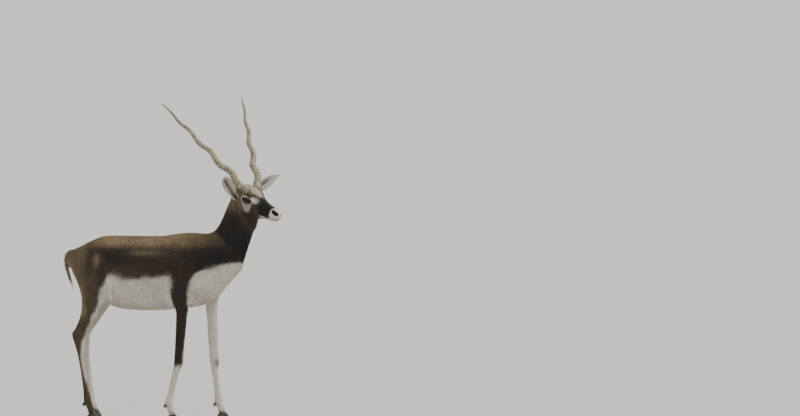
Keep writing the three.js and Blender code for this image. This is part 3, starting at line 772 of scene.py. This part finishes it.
def hair_length(surface, regions):
    """How long the hair is at each point of the skin, in metres."""
    length = 0.0100 * region_mask(regions, "torso")
    length += 0.0115 * region_mask(regions, "neck")
    length += 0.0200 * region_mask(regions, "tail")
    length += 0.0075 * region_mask(regions, *UPPER_LEGS)
    length += 0.0060 * region_mask(regions, *LOWER_LEGS)
    length += 0.0045 * region_mask(regions, "head")
    length += 0.0042 * region_mask(regions, "ear")
    length = surface.spread(length, 25)
    face = to_head(surface.points)
    return length * (1.0 - 0.45 * smoothstep(0.02, 0.10, face[:, 0]) * region_mask(regions, "head"))


def paint(mesh, marks):
    # the markings attribute carries the coat's pattern and the painted highlights and shade with it
    layer = mesh.color_attributes.new("markings_and_painted_light", "FLOAT_COLOR", "POINT")
    colours = np.concatenate([marks, np.ones((len(marks), 1))], axis=1)
    layer.data.foreach_set("color", colours.ravel())


# ---- the unwrap of the coat, laid out by where the tufts' roots sit on the skin

CHARTS = {
    "torso": ((0.01, 0.01, 0.59, 0.59), (-0.15, 0.0, 0.64), (1, 0, 0), (0, 0, -1), 0.85),
    "neck": ((0.62, 0.01, 0.99, 0.25), (0.20, 0.0, 0.84), (0.3, 0, 0.95), (0, 1, 0), 0.36),
    "tail": ((0.93, 0.52, 0.99, 0.60), (-0.53, 0.0, 0.65), (0, 0, 1), (1, 0, 0), 0.22),
}


def chart_of(name):
    """A solid's rectangle on the unwrap, and the axis that it is rolled off."""
    if name in CHARTS:
        place, centre, along, seam, long = CHARTS[name]
        return place, Vector(centre) + STANCE, Vector(along).normalized(), Vector(seam), long
    if name == "head":
        axis = HEAD.to_3x3() @ Vector((1, 0, 0))
        seam = HEAD.to_3x3() @ Vector((0, 0, -1))
        return (0.62, 0.27, 0.99, 0.50), HEAD @ Vector((0.02, 0, -0.02)), axis, seam, 0.30
    if name.startswith("ear"):
        side = SIDES[name.split("_")[1]]
        root = Vector((EAR_ROOT.x, side * EAR_ROOT.y, EAR_ROOT.z))
        reach = EAR_REACH[name.split("_")[1]]
        axis = (HEAD.to_3x3() @ reach).normalized()
        left = 0.62 + (0.15 if side > 0 else 0.0)
        seam = HEAD.to_3x3() @ EAR_MOUTH[name.split("_")[1]]
        return (left, 0.52, left + 0.14, 0.60), HEAD @ (root + 0.5 * reach), axis, seam, 0.18
    _, end, word, level = name.split("_")
    leg = LEGS[f"{end}_{word}"]
    column = list(LEGS).index(f"{end}_{word}") * 2 + (level == "lower")
    low = Vector((leg["fetlock"][0], leg["side"] * leg["y"], leg["fetlock"][1]))
    joint = Vector((leg["knee"][0], leg["side"] * (leg["y"] + 0.004), leg["knee"][1]))
    if level == "lower":
        centre, along, long = (low + joint) / 2, joint - low, 0.38 if end == "hind" else 0.30
    else:
        top = Vector((-0.39, leg["side"] * 0.080, 0.53)) if end == "hind" else Vector((joint.x + 0.01, leg["side"] * 0.072, 0.5))
        centre, along, long = (top + joint) / 2, top - joint, 0.34
    place = (0.01 + 0.1235 * column, 0.62, 0.12 + 0.1235 * column, 0.99)
    return place, centre + STANCE, along.normalized(), Vector((0, -leg["side"], 0)), long


def unroll(points, name):
    """(turn, share) of points rolled off a solid's axis: turn is the angle, share the place along it."""
    _, centre, axis, seam, long = chart_of(name)
    axis = np.array(axis)
    seam = np.array(seam) - axis * float(np.dot(np.array(seam), axis))
    seam /= np.linalg.norm(seam)
    across = np.cross(axis, seam)
    off = points - np.array(centre)
    turn = np.arctan2(off @ across, -(off @ seam))
    return turn, np.clip(off @ axis / long + 0.5, 0, 1)


def place_on_unwrap(points, regions, inner):
    """The point of the unwrap for each place on the skin."""
    spots = np.zeros((len(points), 2))
    for number, name in enumerate(FLESH):
        here = np.nonzero(regions == number)[0]
        if len(here):
            turn, share = unroll(points[here], name)
            left, low, right, high = chart_of(name)[0]
            around = turn / (2 * math.pi) + 0.5
            if name.startswith("ear"):
                around = 0.5 * around + 0.5 * (inner[here] > 0.5)
            spots[here, 0] = left + around * (right - left)
            spots[here, 1] = low + share * (high - low)
    return spots


# ---- the coat

TUFTS = 340000
COAT_PIECES = 7


def sample_skin(points, faces, weight, count):
    """Random places on the skin: the face of each and its shares of the three corners."""
    a, b, c = (points[faces[:, i]] for i in range(3))
    area = 0.5 * np.linalg.norm(np.cross(b - a, c - a), axis=1) * weight
    chosen = random.choice(len(faces), size=count, p=area / area.sum())
    r, s = random.random(count), random.random(count)
    flip = r + s > 1.0
    r[flip], s[flip] = 1.0 - r[flip], 1.0 - s[flip]
    return chosen, np.stack([1.0 - r - s, r, s], axis=1)


def tuft_arrays(roots, up, way, length, width, lift):
    """Four points a tuft: two at the sides of its root, one on the root's crest, and its tip."""
    across = np.cross(up, way)
    low = roots - 0.0005 * up
    tip = roots + way * (length * np.cos(lift))[:, None] + up * (length * np.sin(lift))[:, None]
    half = (0.5 * width)[:, None] * across
    crest = low + (0.0005 + 0.20 * width)[:, None] * up
    return np.stack([low - half, low + half, crest, tip], axis=1)


TUFT_FACES = np.array([[0, 1, 3], [1, 2, 3], [2, 0, 3], [0, 2, 1]])
TUFT_PATCH = 0.0015 * np.array([[-1, -1], [1, -1], [0, -0.6], [0, 1]])
ROOT_AND_TIP = np.array([[-0.05, -0.06, 0.09], [-0.05, -0.06, 0.09], [-0.03, -0.03, 0.05], [0.03, 0.05, -0.05]])


def tuft_mesh(name, corners, marks, spots):
    """All the tufts of one piece of the coat as one mesh, with its markings and its unwrap."""
    count = len(corners)
    loops = (4 * np.arange(count)[:, None, None] + TUFT_FACES).ravel()
    mesh = bpy.data.meshes.new(name)
    mesh.vertices.add(4 * count)
    mesh.vertices.foreach_set("co", corners.ravel())
    mesh.loops.add(len(loops))
    mesh.loops.foreach_set("vertex_index", loops)
    mesh.polygons.add(4 * count)
    mesh.polygons.foreach_set("loop_start", 3 * np.arange(4 * count))
    mesh.update(calc_edges=True)
    paint(mesh, np.clip(marks[:, None, :] + ROOT_AND_TIP * (0.3 + marks[:, None, :]), 0, 1).reshape(-1, 3))
    flat = (spots[:, None, :] + TUFT_PATCH[None, :, :]).reshape(-1, 2)
    layer = mesh.uv_layers.new(name="OFBake")
    layer.data.foreach_set("uv", np.clip(flat[loops], 0.0005, 0.9995).ravel())
    mesh.validate()
    return mesh


def make_coat(surface, regions, normals, marks, lie, length):
    """Short flat tufts all over the skin, shared out at random among pieces of like size."""
    skin = surface.mesh
    skin.calc_loop_triangles()
    faces = np.empty(3 * len(skin.loop_triangles), dtype=np.int64)
    skin.loop_triangles.foreach_get("vertices", faces)
    faces = faces.reshape(-1, 3)
    points = surface.points
    density = (0.010 / np.maximum(length, 0.003)) ** 1.1
    density[bare_skin(to_head(points)) | folded_skin(surface, regions, normals)] = 0.0
    weight = density[faces].mean(axis=1)
    chosen, shares = sample_skin(points, faces, weight, TUFTS)
    corner = faces[chosen]

    def at(values):
        picked = values[corner] * (shares if values.ndim == 1 else shares[:, :, None])
        return picked.sum(axis=1)

    roots = at(points)
    up = at(normals)
    up /= np.linalg.norm(up, axis=1)[:, None]
    way = at(lie)
    way -= up * (way * up).sum(axis=1)[:, None]
    way /= np.maximum(np.linalg.norm(way, axis=1), 1e-9)[:, None]
    stray = random.normal(0.0, 0.16, TUFTS)
    way = way * np.cos(stray)[:, None] + np.cross(up, way) * np.sin(stray)[:, None]
    long = at(length) * random.uniform(0.70, 1.30, TUFTS)
    width = np.clip(0.15 * long, 0.0006, 0.0018) * random.uniform(0.8, 1.3, TUFTS)
    lift = np.radians(random.uniform(3.0, 9.0, TUFTS))
    corners = tuft_arrays(roots, up, way, long, width, lift)
    own = at(marks)
    own[:, 1] += random.normal(0.0, 0.07, TUFTS)
    own[:, 2] += random.normal(0.0, 0.06, TUFTS)
    own = np.clip(own, 0.0, 1.0)
    nearest = regions[corner[:, 0]]
    inner = inner_ear(up, nearest)
    spots = place_on_unwrap(roots, nearest, inner)
    share = random.permutation(TUFTS) % COAT_PIECES
    material = coat_material("coat")
    for number in range(COAT_PIECES):
        mine = share == number
        mesh = tuft_mesh(f"coat_{number + 1}", corners[mine], own[mine], spots[mine])
        finish_mesh(f"coat_{number + 1}", mesh, material, ())


def folded_skin(surface, regions, normals):
    """True deep in the folds where a leg joins the trunk: hair from there would stick out askew."""
    steady = surface.spread(normals, 14)
    steady /= np.maximum(np.linalg.norm(steady, axis=1), 1e-9)[:, None]
    trunk = region_mask(regions, "torso", "neck", *UPPER_LEGS) > 0.5
    folded = (trunk & ((normals * steady).sum(axis=1) < 0.80)).astype(float)
    return surface.widen(folded, 1) > 0.3


def bare_skin(face):
    """True where no hair grows: inside the lids and nostrils, on the lips and on the nose pad."""
    x, side, z = face[:, 0], np.abs(face[:, 1]), face[:, 2]
    eye = ((x - 0.003) / 0.0175) ** 2 + (z / 0.0110) ** 2 + ((side - 0.055) / 0.03) ** 2 < 1.0
    pad = (x > 0.155) & (z > -0.032) & (side < 0.007)
    return eye | pad | (nostril_share(face, 1.3) > 0.4) | (mouth_line(face) > 0.6)


# ---- materials


def link(tree, source, target):
    tree.links.new(source, target)


def hair_group():
    """Coat colour from the markings, with flecks and streaks, and a fine bump along the hair."""
    group = bpy.data.node_groups.new("hair_colour", "ShaderNodeTree")
    face = group.interface
    face.new_socket("Markings And Painted Light", in_out="INPUT", socket_type="NodeSocketColor")
    for name in ("Dark", "Tan", "Black", "White"):
        face.new_socket(name, in_out="INPUT", socket_type="NodeSocketColor")
    face.new_socket("Fleck Scale", in_out="INPUT", socket_type="NodeSocketFloat")
    face.new_socket("Bump Strength", in_out="INPUT", socket_type="NodeSocketFloat")
    face.new_socket("Color", in_out="OUTPUT", socket_type="NodeSocketColor")
    face.new_socket("Roughness", in_out="OUTPUT", socket_type="NodeSocketFloat")
    face.new_socket("Normal", in_out="OUTPUT", socket_type="NodeSocketVector")
    nodes = group.nodes
    entry = nodes.new("NodeGroupInput")
    leave = nodes.new("NodeGroupOutput")
    parts = nodes.new("ShaderNodeSeparateColor")
    link(group, entry.outputs["Markings And Painted Light"], parts.inputs["Color"])
    colour = entry.outputs["Dark"]
    for share, name in ((parts.outputs["Green"], "Tan"), (parts.outputs["Blue"], "Black"), (parts.outputs["Red"], "White")):
        mix = nodes.new("ShaderNodeMix")
        mix.data_type = "RGBA"
        link(group, share, mix.inputs["Factor"])
        link(group, colour, mix.inputs["A"])
        link(group, entry.outputs[name], mix.inputs["B"])
        colour = mix.outputs["Result"]
    where = nodes.new("ShaderNodeTexCoord")
    fleck = nodes.new("ShaderNodeTexNoise")
    fleck.inputs["Detail"].default_value = 4.0
    link(group, where.outputs["Object"], fleck.inputs["Vector"])
    link(group, entry.outputs["Fleck Scale"], fleck.inputs["Scale"])
    patch = nodes.new("ShaderNodeTexNoise")
    patch.inputs["Scale"].default_value = 14.0
    patch.inputs["Detail"].default_value = 5.0
    link(group, where.outputs["Object"], patch.inputs["Vector"])
    both = nodes.new("ShaderNodeMath")
    both.operation = "ADD"
    link(group, fleck.outputs["Fac"], both.inputs[0])
    link(group, patch.outputs["Fac"], both.inputs[1])
    reach = nodes.new("ShaderNodeMapRange")
    reach.inputs["From Min"].default_value = 0.6
    reach.inputs["From Max"].default_value = 1.4
    reach.inputs["To Min"].default_value = 0.74
    reach.inputs["To Max"].default_value = 1.26
    link(group, both.outputs["Value"], reach.inputs["Value"])
    shade = nodes.new("ShaderNodeVectorMath")
    shade.operation = "SCALE"
    link(group, colour, shade.inputs[0])
    link(group, reach.outputs["Result"], shade.inputs["Scale"])
    link(group, shade.outputs["Vector"], leave.inputs["Color"])
    rough = nodes.new("ShaderNodeMapRange")
    rough.inputs["To Min"].default_value = 0.56
    rough.inputs["To Max"].default_value = 0.80
    link(group, patch.outputs["Fac"], rough.inputs["Value"])
    link(group, rough.outputs["Result"], leave.inputs["Roughness"])
    stretch = nodes.new("ShaderNodeMapping")
    stretch.inputs["Scale"].default_value = (140.0, 700.0, 420.0)
    link(group, where.outputs["Object"], stretch.inputs["Vector"])
    strand = nodes.new("ShaderNodeTexNoise")
    strand.inputs["Scale"].default_value = 1.0
    strand.inputs["Detail"].default_value = 3.0
    link(group, stretch.outputs["Vector"], strand.inputs["Vector"])
    relief = nodes.new("ShaderNodeBump")
    relief.inputs["Distance"].default_value = 0.0012
    link(group, entry.outputs["Bump Strength"], relief.inputs["Strength"])
    link(group, strand.outputs["Fac"], relief.inputs["Height"])
    link(group, relief.outputs["Normal"], leave.inputs["Normal"])
    return group


DARK = (0.036, 0.023, 0.016, 1.0)
TAN = (0.300, 0.222, 0.122, 1.0)
BLACK = (0.0095, 0.0078, 0.0085, 1.0)
WHITE = (0.69, 0.645, 0.555, 1.0)


def coat_material(name, bump_strength=0.25):
    material = new_material(name)
    tree = material.node_tree
    shader = tree.nodes["Principled BSDF"]
    shader.inputs["Sheen Weight"].default_value = 0.06
    shader.inputs["Sheen Roughness"].default_value = 0.5
    shader.inputs["Specular IOR Level"].default_value = 0.22
    # the markings attribute brings the pattern and the painted highlights and shade into the colour
    marks = tree.nodes.new("ShaderNodeAttribute")
    marks.attribute_name = "markings_and_painted_light"
    hair = tree.nodes.new("ShaderNodeGroup")
    hair.node_tree = HAIR
    for key, value in (("Dark", DARK), ("Tan", TAN), ("Black", BLACK), ("White", WHITE)):
        hair.inputs[key].default_value = value
    hair.inputs["Fleck Scale"].default_value = 260.0
    hair.inputs["Bump Strength"].default_value = bump_strength
    link(tree, marks.outputs["Color"], hair.inputs["Markings And Painted Light"])
    link(tree, hair.outputs["Color"], shader.inputs["Base Color"])
    link(tree, hair.outputs["Roughness"], shader.inputs["Roughness"])
    link(tree, hair.outputs["Normal"], shader.inputs["Normal"])
    return material


def banded_material(name, pale, dark, scale, roughness, depth):
    """Horn or hoof: grown in fine bands, darker in the hollows."""
    material = new_material(name)
    tree = material.node_tree
    shader = tree.nodes["Principled BSDF"]
    where = tree.nodes.new("ShaderNodeTexCoord")
    cloud = tree.nodes.new("ShaderNodeTexNoise")
    cloud.inputs["Scale"].default_value = 38.0
    cloud.inputs["Detail"].default_value = 6.0
    link(tree, where.outputs["Object"], cloud.inputs["Vector"])
    stretch = tree.nodes.new("ShaderNodeMapping")
    stretch.inputs["Scale"].default_value = scale
    link(tree, where.outputs["Object"], stretch.inputs["Vector"])
    band = tree.nodes.new("ShaderNodeTexNoise")
    band.inputs["Scale"].default_value = 1.0
    band.inputs["Detail"].default_value = 4.0
    link(tree, stretch.outputs["Vector"], band.inputs["Vector"])
    both = tree.nodes.new("ShaderNodeMath")
    both.operation = "MULTIPLY"
    link(tree, cloud.outputs["Fac"], both.inputs[0])
    link(tree, band.outputs["Fac"], both.inputs[1])
    ramp = tree.nodes.new("ShaderNodeValToRGB")
    ramp.color_ramp.elements[0].position = 0.16
    ramp.color_ramp.elements[0].color = dark
    ramp.color_ramp.elements[1].position = 0.36
    ramp.color_ramp.elements[1].color = pale
    link(tree, both.outputs["Value"], ramp.inputs["Fac"])
    link(tree, ramp.outputs["Color"], shader.inputs["Base Color"])
    rough = tree.nodes.new("ShaderNodeMapRange")
    rough.inputs["To Min"].default_value = roughness - 0.12
    rough.inputs["To Max"].default_value = roughness + 0.15
    link(tree, cloud.outputs["Fac"], rough.inputs["Value"])
    link(tree, rough.outputs["Result"], shader.inputs["Roughness"])
    relief = tree.nodes.new("ShaderNodeBump")
    relief.inputs["Strength"].default_value = 0.6
    relief.inputs["Distance"].default_value = depth
    link(tree, band.outputs["Fac"], relief.inputs["Height"])
    link(tree, relief.outputs["Normal"], shader.inputs["Normal"])
    return material


def horn_material():
    """Horn: pale worn crests, darker grooves between the rings, and a dark smooth tip."""
    material = new_material("ringed_horn")
    tree = material.node_tree
    shader = tree.nodes["Principled BSDF"]
    shader.inputs["Specular IOR Level"].default_value = 0.4
    growth = tree.nodes.new("ShaderNodeAttribute")
    growth.attribute_name = "growth"
    parts = tree.nodes.new("ShaderNodeSeparateColor")
    link(tree, growth.outputs["Color"], parts.inputs["Color"])
    where = tree.nodes.new("ShaderNodeTexCoord")
    cloud = tree.nodes.new("ShaderNodeTexNoise")
    cloud.inputs["Scale"].default_value = 60.0
    cloud.inputs["Detail"].default_value = 7.0
    cloud.inputs["Roughness"].default_value = 0.62
    link(tree, where.outputs["Object"], cloud.inputs["Vector"])
    worn = tree.nodes.new("ShaderNodeMath")
    worn.operation = "MULTIPLY_ADD"
    worn.inputs[1].default_value = 0.30
    link(tree, parts.outputs["Red"], worn.inputs[0])
    link(tree, cloud.outputs["Fac"], worn.inputs[2])
    ramp = tree.nodes.new("ShaderNodeValToRGB")
    ramp.color_ramp.elements[0].position = 0.36
    ramp.color_ramp.elements[0].color = (0.060, 0.050, 0.033, 1.0)
    ramp.color_ramp.elements[1].position = 0.90
    ramp.color_ramp.elements[1].color = (0.400, 0.370, 0.262, 1.0)
    ramp.color_ramp.elements.new(0.58)
    ramp.color_ramp.elements[1].color = (0.225, 0.202, 0.137, 1.0)
    link(tree, worn.outputs["Value"], ramp.inputs["Fac"])
    tip = tree.nodes.new("ShaderNodeMapRange")
    tip.inputs["From Min"].default_value = 0.72
    tip.inputs["From Max"].default_value = 0.95
    link(tree, parts.outputs["Green"], tip.inputs["Value"])
    mix = tree.nodes.new("ShaderNodeMix")
    mix.data_type = "RGBA"
    mix.inputs["B"].default_value = (0.210, 0.190, 0.130, 1.0)
    link(tree, tip.outputs["Result"], mix.inputs["Factor"])
    link(tree, ramp.outputs["Color"], mix.inputs["A"])
    link(tree, mix.outputs["Result"], shader.inputs["Base Color"])
    rough = tree.nodes.new("ShaderNodeMapRange")
    rough.inputs["To Min"].default_value = 0.72
    rough.inputs["To Max"].default_value = 0.46
    link(tree, worn.outputs["Value"], rough.inputs["Value"])
    link(tree, rough.outputs["Result"], shader.inputs["Roughness"])
    relief = tree.nodes.new("ShaderNodeBump")
    relief.inputs["Strength"].default_value = 0.5
    relief.inputs["Distance"].default_value = 0.0010
    link(tree, cloud.outputs["Fac"], relief.inputs["Height"])
    link(tree, relief.outputs["Normal"], shader.inputs["Normal"])
    return material


def eye_material(name, side):
    """A dark wet eye: a wide pupil in a brown iris."""
    material = new_material(name)
    tree = material.node_tree
    shader = tree.nodes["Principled BSDF"]
    shader.inputs["Coat Weight"].default_value = 1.0
    shader.inputs["Coat Roughness"].default_value = 0.03
    shader.inputs["Coat IOR"].default_value = 1.24
    shader.inputs["Specular IOR Level"].default_value = 0.15
    shader.inputs["Roughness"].default_value = 0.25
    where = tree.nodes.new("ShaderNodeTexCoord")
    centre = HEAD @ Vector((EYE_CENTRE[0], side * EYE_CENTRE[1], EYE_CENTRE[2]))
    gaze = eye_frame(side)
    spread = []
    for row, size in ((gaze.col[0], 0.0075), (gaze.col[1], 0.0042)):
        part = tree.nodes.new("ShaderNodeVectorMath")
        part.operation = "SUBTRACT"
        link(tree, where.outputs["Object"], part.inputs[0])
        part.inputs[1].default_value = centre
        dot = tree.nodes.new("ShaderNodeVectorMath")
        dot.operation = "DOT_PRODUCT"
        link(tree, part.outputs["Vector"], dot.inputs[0])
        dot.inputs[1].default_value = row / size
        square = tree.nodes.new("ShaderNodeMath")
        square.operation = "MULTIPLY"
        link(tree, dot.outputs["Value"], square.inputs[0])
        link(tree, dot.outputs["Value"], square.inputs[1])
        spread.append(square)
    total = tree.nodes.new("ShaderNodeMath")
    total.operation = "ADD"
    link(tree, spread[0].outputs["Value"], total.inputs[0])
    link(tree, spread[1].outputs["Value"], total.inputs[1])
    ramp = tree.nodes.new("ShaderNodeValToRGB")
    ramp.color_ramp.elements[0].position = 0.20
    ramp.color_ramp.elements[0].color = (0.002, 0.002, 0.003, 1.0)
    ramp.color_ramp.elements[1].position = 0.30
    ramp.color_ramp.elements[1].color = (0.012, 0.006, 0.003, 1.0)
    scale = tree.nodes.new("ShaderNodeMath")
    scale.operation = "MULTIPLY"
    scale.inputs[1].default_value = 0.25
    link(tree, total.outputs["Value"], scale.inputs[0])
    link(tree, scale.outputs["Value"], ramp.inputs["Fac"])
    link(tree, ramp.outputs["Color"], shader.inputs["Base Color"])
    return material


# ---- eyes, horns and hooves


def eye_frame(side):
    """Across, high and out of an eye's socket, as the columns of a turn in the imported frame."""
    out = Vector((math.sin(EYE_TURN), side * math.cos(EYE_TURN), 0.06)).normalized()
    across = Vector((0, 0, 1)).cross(out).normalized()
    turn = Matrix((across, out.cross(across), out)).transposed()
    return HEAD.to_3x3() @ turn


def make_eyes():
    lids = banded_material(
        "dark_lid", (0.020, 0.015, 0.013, 1.0), (0.008, 0.006, 0.006, 1.0), (300.0, 300.0, 300.0), 0.42, 0.0003
    )
    for word, side in SIDES.items():
        ball = bmesh.new()
        bmesh.ops.create_uvsphere(ball, u_segments=48, v_segments=32, radius=EYE_RADIUS)
        for vertex in ball.verts:
            cornea = max(0.0, vertex.co.z / EYE_RADIUS - 0.80) / 0.20
            vertex.co *= 1.0 + 0.055 * cornea * (2.0 - cornea)
        place = Matrix.Translation(HEAD @ Vector((EYE_CENTRE[0], side * EYE_CENTRE[1], EYE_CENTRE[2])))
        bmesh.ops.transform(ball, matrix=place @ eye_frame(side).to_4x4(), verts=ball.verts)
        finish_piece(f"eyeball_{word}", ball, eye_material(f"wet_eye_{word}", side), (f"eye_{word}",))
        finish_piece(f"lid_rim_{word}", make_lid_rim(place @ eye_frame(side).to_4x4()), lids, ())


LID_HALF = (0.0146, 0.0084)  # half length and half height of the opening between the lids
LID_THICK = 0.0017


def make_lid_rim(place):
    """The bare rims of the two lids: a ring that lies on the eyeball along an almond."""
    rim = bmesh.new()
    made = bmesh.ops.create_circle(rim, segments=12, radius=LID_THICK)
    turn = Matrix.Translation((0.010, 0, 0)) @ Matrix.Rotation(math.pi / 2, 4, "X")
    bmesh.ops.transform(rim, matrix=turn, verts=made["verts"])
    bmesh.ops.spin(
        rim,
        geom=rim.verts[:] + rim.edges[:],
        cent=(0, 0, 0),
        axis=(0, 0, 1),
        angle=2 * math.pi,
        steps=64,
        use_merge=True,
    )
    bmesh.ops.remove_doubles(rim, verts=rim.verts, dist=1e-6)
    for vertex in rim.verts:
        angle = math.atan2(vertex.co.y, vertex.co.x)
        off = math.hypot(vertex.co.x, vertex.co.y) - 0.010
        x = (LID_HALF[0] + off) * math.cos(angle)
        y = (LID_HALF[1] + off) * math.sin(angle) * (1.0 - 0.22 * math.cos(angle) ** 2)
        heavier = 1.35 if y > 0 else 1.0
        high = math.sqrt(max(0.0, (EYE_RADIUS + 0.0004) ** 2 - x * x - y * y))
        vertex.co = (x, y, high + heavier * vertex.co.z)
    bmesh.ops.transform(rim, matrix=place, verts=rim.verts)
    bmesh.ops.recalc_face_normals(rim, faces=rim.faces)
    return rim


HORN_ROOT = Vector((-0.017, 0.037, 0.037))
HORN_REACH = {"right": Vector((-0.377, -0.204, 0.275)), "left": Vector((-0.377, 0.215, 0.290))}
HORN_TURNS = 4.2
HORN_COIL = 0.0075
HORN_THICK = 0.0155
HORN_TIP = 0.0026
HORN_RINGS = 38
HORN_RINGED = 0.86
HORN_SUNK = 0.045  # share of its length that bends down into the skull


def horn_centre(side, share):
    reach = HORN_REACH["left" if side > 0 else "right"]
    out = Vector((0, side, 0))
    lateral = (out - reach * (out.dot(reach) / reach.length_squared)).normalized()
    front = side * reach.normalized().cross(lateral)
    phase = math.pi - 2 * math.pi * HORN_TURNS * share
    coil = HORN_COIL * min(1.0, max(0.0, 1 - share)) ** 0.6 * min(1.0, max(0.0, share * 12))
    root = Vector((HORN_ROOT.x, side * HORN_ROOT.y, HORN_ROOT.z))
    if share < 0:
        bent = min(1.0, -share / 0.02)
        inward = Vector((-0.25, -0.25 * side, -1.0)) * reach.length
        return root + reach * share * (1.0 - bent) - inward * share * bent
    return root + reach * share + lateral * (coil * math.cos(phase)) + front * (coil * math.sin(phase))


def horn_ridge(share, angle, side):
    """How high the rings stand at a place on a horn: 0 in a groove, 1 on a crest."""
    ringed = max(0.0, share) / HORN_RINGED
    waver = 0.30 * noise.noise(Vector((math.cos(angle), math.sin(angle), 9.0 * ringed + 3.0 * side)))
    crest = (0.5 - 0.5 * math.cos(2 * math.pi * (HORN_RINGS * ringed ** 0.92 + waver))) ** 1.4
    return crest * max(0.0, 1.0 - ringed ** 6) * min(1.0, max(0.0, 60.0 * share))


def make_horns():
    """A tube bent along the spiral, ringed with ridges that grow fainter and closer to the tip."""
    material = horn_material()
    for word, side in SIDES.items():
        horn = bmesh.new()
        bmesh.ops.create_cone(horn, cap_ends=True, segments=32, radius1=1.0, radius2=1.0, depth=1.0)
        long = [edge for edge in horn.edges if abs(edge.verts[0].co.z - edge.verts[1].co.z) > 0.5]
        bmesh.ops.subdivide_edges(horn, edges=long, cuts=520, use_grid_fill=True)
        growth = horn.verts.layers.float_color.new("growth")
        for vertex in horn.verts:
            place = min(1.0, max(0.0, vertex.co.z + 0.5))
            share = place * (1.0 + HORN_SUNK) - HORN_SUNK
            angle = math.atan2(vertex.co.y, vertex.co.x)
            along = (horn_centre(side, min(1.0, share + 0.004)) - horn_centre(side, share - 0.004)).normalized()
            lead = Vector((0, 0, 1))
            lead = (lead - along * lead.dot(along)).normalized()
            across = along.cross(lead)
            ridge = horn_ridge(share, angle, side)
            taper = min(1.0, max(0.0, 1 - share)) ** 0.72
            radius = HORN_TIP + (HORN_THICK - HORN_TIP) * taper - 0.0004
            radius += 0.0021 * ridge * (1.0 - 0.55 * max(0.0, share))
            if place >= 1.0:
                radius *= 0.35
            vertex[growth] = (ridge, max(0.0, share), 0.0, 1.0)
            vertex.co = horn_centre(side, share)
            vertex.co += across * (radius * math.cos(angle)) + lead * (radius * math.sin(angle))
        bmesh.ops.transform(horn, matrix=HEAD, verts=horn.verts)
        bmesh.ops.recalc_face_normals(horn, faces=horn.faces)
        finish_piece(f"horn_sheath_{word}", horn, material, (f"horn_{word}",))


CLAW_LENGTH = 0.054
CLAW_HEEL = -0.022
CLAW_WIDE = 0.008
CLAW_APART = 0.0174
CLAW_HIGH = 0.040
CLAW_SHARE = [0.0, 0.12, 0.4, 0.66, 0.86, 1.0]
CLAW_HIGHS = [0.55, 0.9, 1.3, 1.0, 0.48, 0.14]
CLAW_WIDES = [0.62, 0.90, 1.0, 0.92, 0.66, 0.22]
CLAW_INS = [0.0, 0.0, 0.0, 0.05, 0.16, 0.26]


def make_hooves():
    material = banded_material(
        "worn_hoof", (0.060, 0.050, 0.040, 1.0), (0.012, 0.010, 0.009, 1.0), (30.0, 30.0, 900.0), 0.5, 0.0006
    )
    for name, leg in LEGS.items():
        for word, way in (("a", -1), ("b", 1)):
            claw = bmesh.new()
            bmesh.ops.create_cone(claw, cap_ends=True, segments=40, radius1=1.0, radius2=1.0, depth=1.0)
            long = [edge for edge in claw.edges if abs(edge.verts[0].co.z - edge.verts[1].co.z) > 0.5]
            bmesh.ops.subdivide_edges(claw, edges=long, cuts=28, use_grid_fill=True)
            for vertex in claw.verts:
                share = vertex.co.z + 0.5
                angle = math.atan2(vertex.co.y, vertex.co.x)
                high = float(table(share, CLAW_SHARE, CLAW_HIGHS))
                wide = float(table(share, CLAW_SHARE, CLAW_WIDES))
                inward = float(table(share, CLAW_SHARE, CLAW_INS))
                x = leg["coronet"][0] + CLAW_HEEL + share * CLAW_LENGTH
                middle = leg["side"] * leg["y"] + way * (CLAW_APART / 2 - inward * CLAW_WIDE)
                y = middle - CLAW_WIDE * wide * math.cos(angle)
                z = CLAW_HIGH * high * max(0.0, math.sin(angle)) ** 0.8
                vertex.co = Vector((x, y, z)) + STANCE
            level = Vector((0, 0, leg["coronet"][1] - 0.0003))
            geometry = claw.verts[:] + claw.edges[:] + claw.faces[:]
            cut = bmesh.ops.bisect_plane(
                claw, geom=geometry, plane_co=level, plane_no=(0, 0, 1), clear_outer=True
            )
            rim = [edge for edge in cut["geom_cut"] if isinstance(edge, bmesh.types.BMEdge)]
            bmesh.ops.holes_fill(claw, edges=rim)
            bmesh.ops.remove_doubles(claw, verts=claw.verts, dist=1e-5)
            bmesh.ops.recalc_face_normals(claw, faces=claw.faces)
            finish_piece(f"hoof_{name}_{word}", claw, material, (f"claw_{name}_{word}",))
        dewclaws = bmesh.new()
        for way in (-1, 1):
            made = bmesh.ops.create_uvsphere(dewclaws, u_segments=20, v_segments=14, radius=1.0)
            place = Vector((leg["fetlock"][0] - 0.0140, leg["side"] * leg["y"] + way * 0.0082, leg["fetlock"][1] - 0.013))
            for vertex in made["verts"]:
                vertex.co.x *= 0.75 + 0.35 * vertex.co.z
                vertex.co.y *= 0.80 + 0.25 * vertex.co.z
            turn = Matrix.Rotation(0.50, 4, "Y") @ Matrix.Diagonal((0.0060, 0.0054, 0.0100, 1.0))
            bmesh.ops.transform(dewclaws, matrix=Matrix.Translation(place + STANCE) @ turn, verts=made["verts"])
        finish_piece(f"dewclaws_{name}", dewclaws, material, ())


# ---- making it all

make_camera()
make_studio()
HAIR = hair_group()
skin_mesh, skin, skin_regions = make_skin()
skin_normals = skin.normals()
skin_marks_and_painted_light = skin.spread(all_marks_and_painted_light(skin, skin_regions, skin_normals), 1)
paint(skin_mesh, skin_marks_and_painted_light)
finish_mesh("skin", skin_mesh, coat_material("skin_under_coat", 0.5), FLESH)
make_coat(
    skin,
    skin_regions,
    skin_normals,
    skin_marks_and_painted_light,
    lie_of_coat(skin, skin_regions, skin_normals),
    hair_length(skin, skin_regions),
)
make_eyes()
make_horns()
make_hooves()
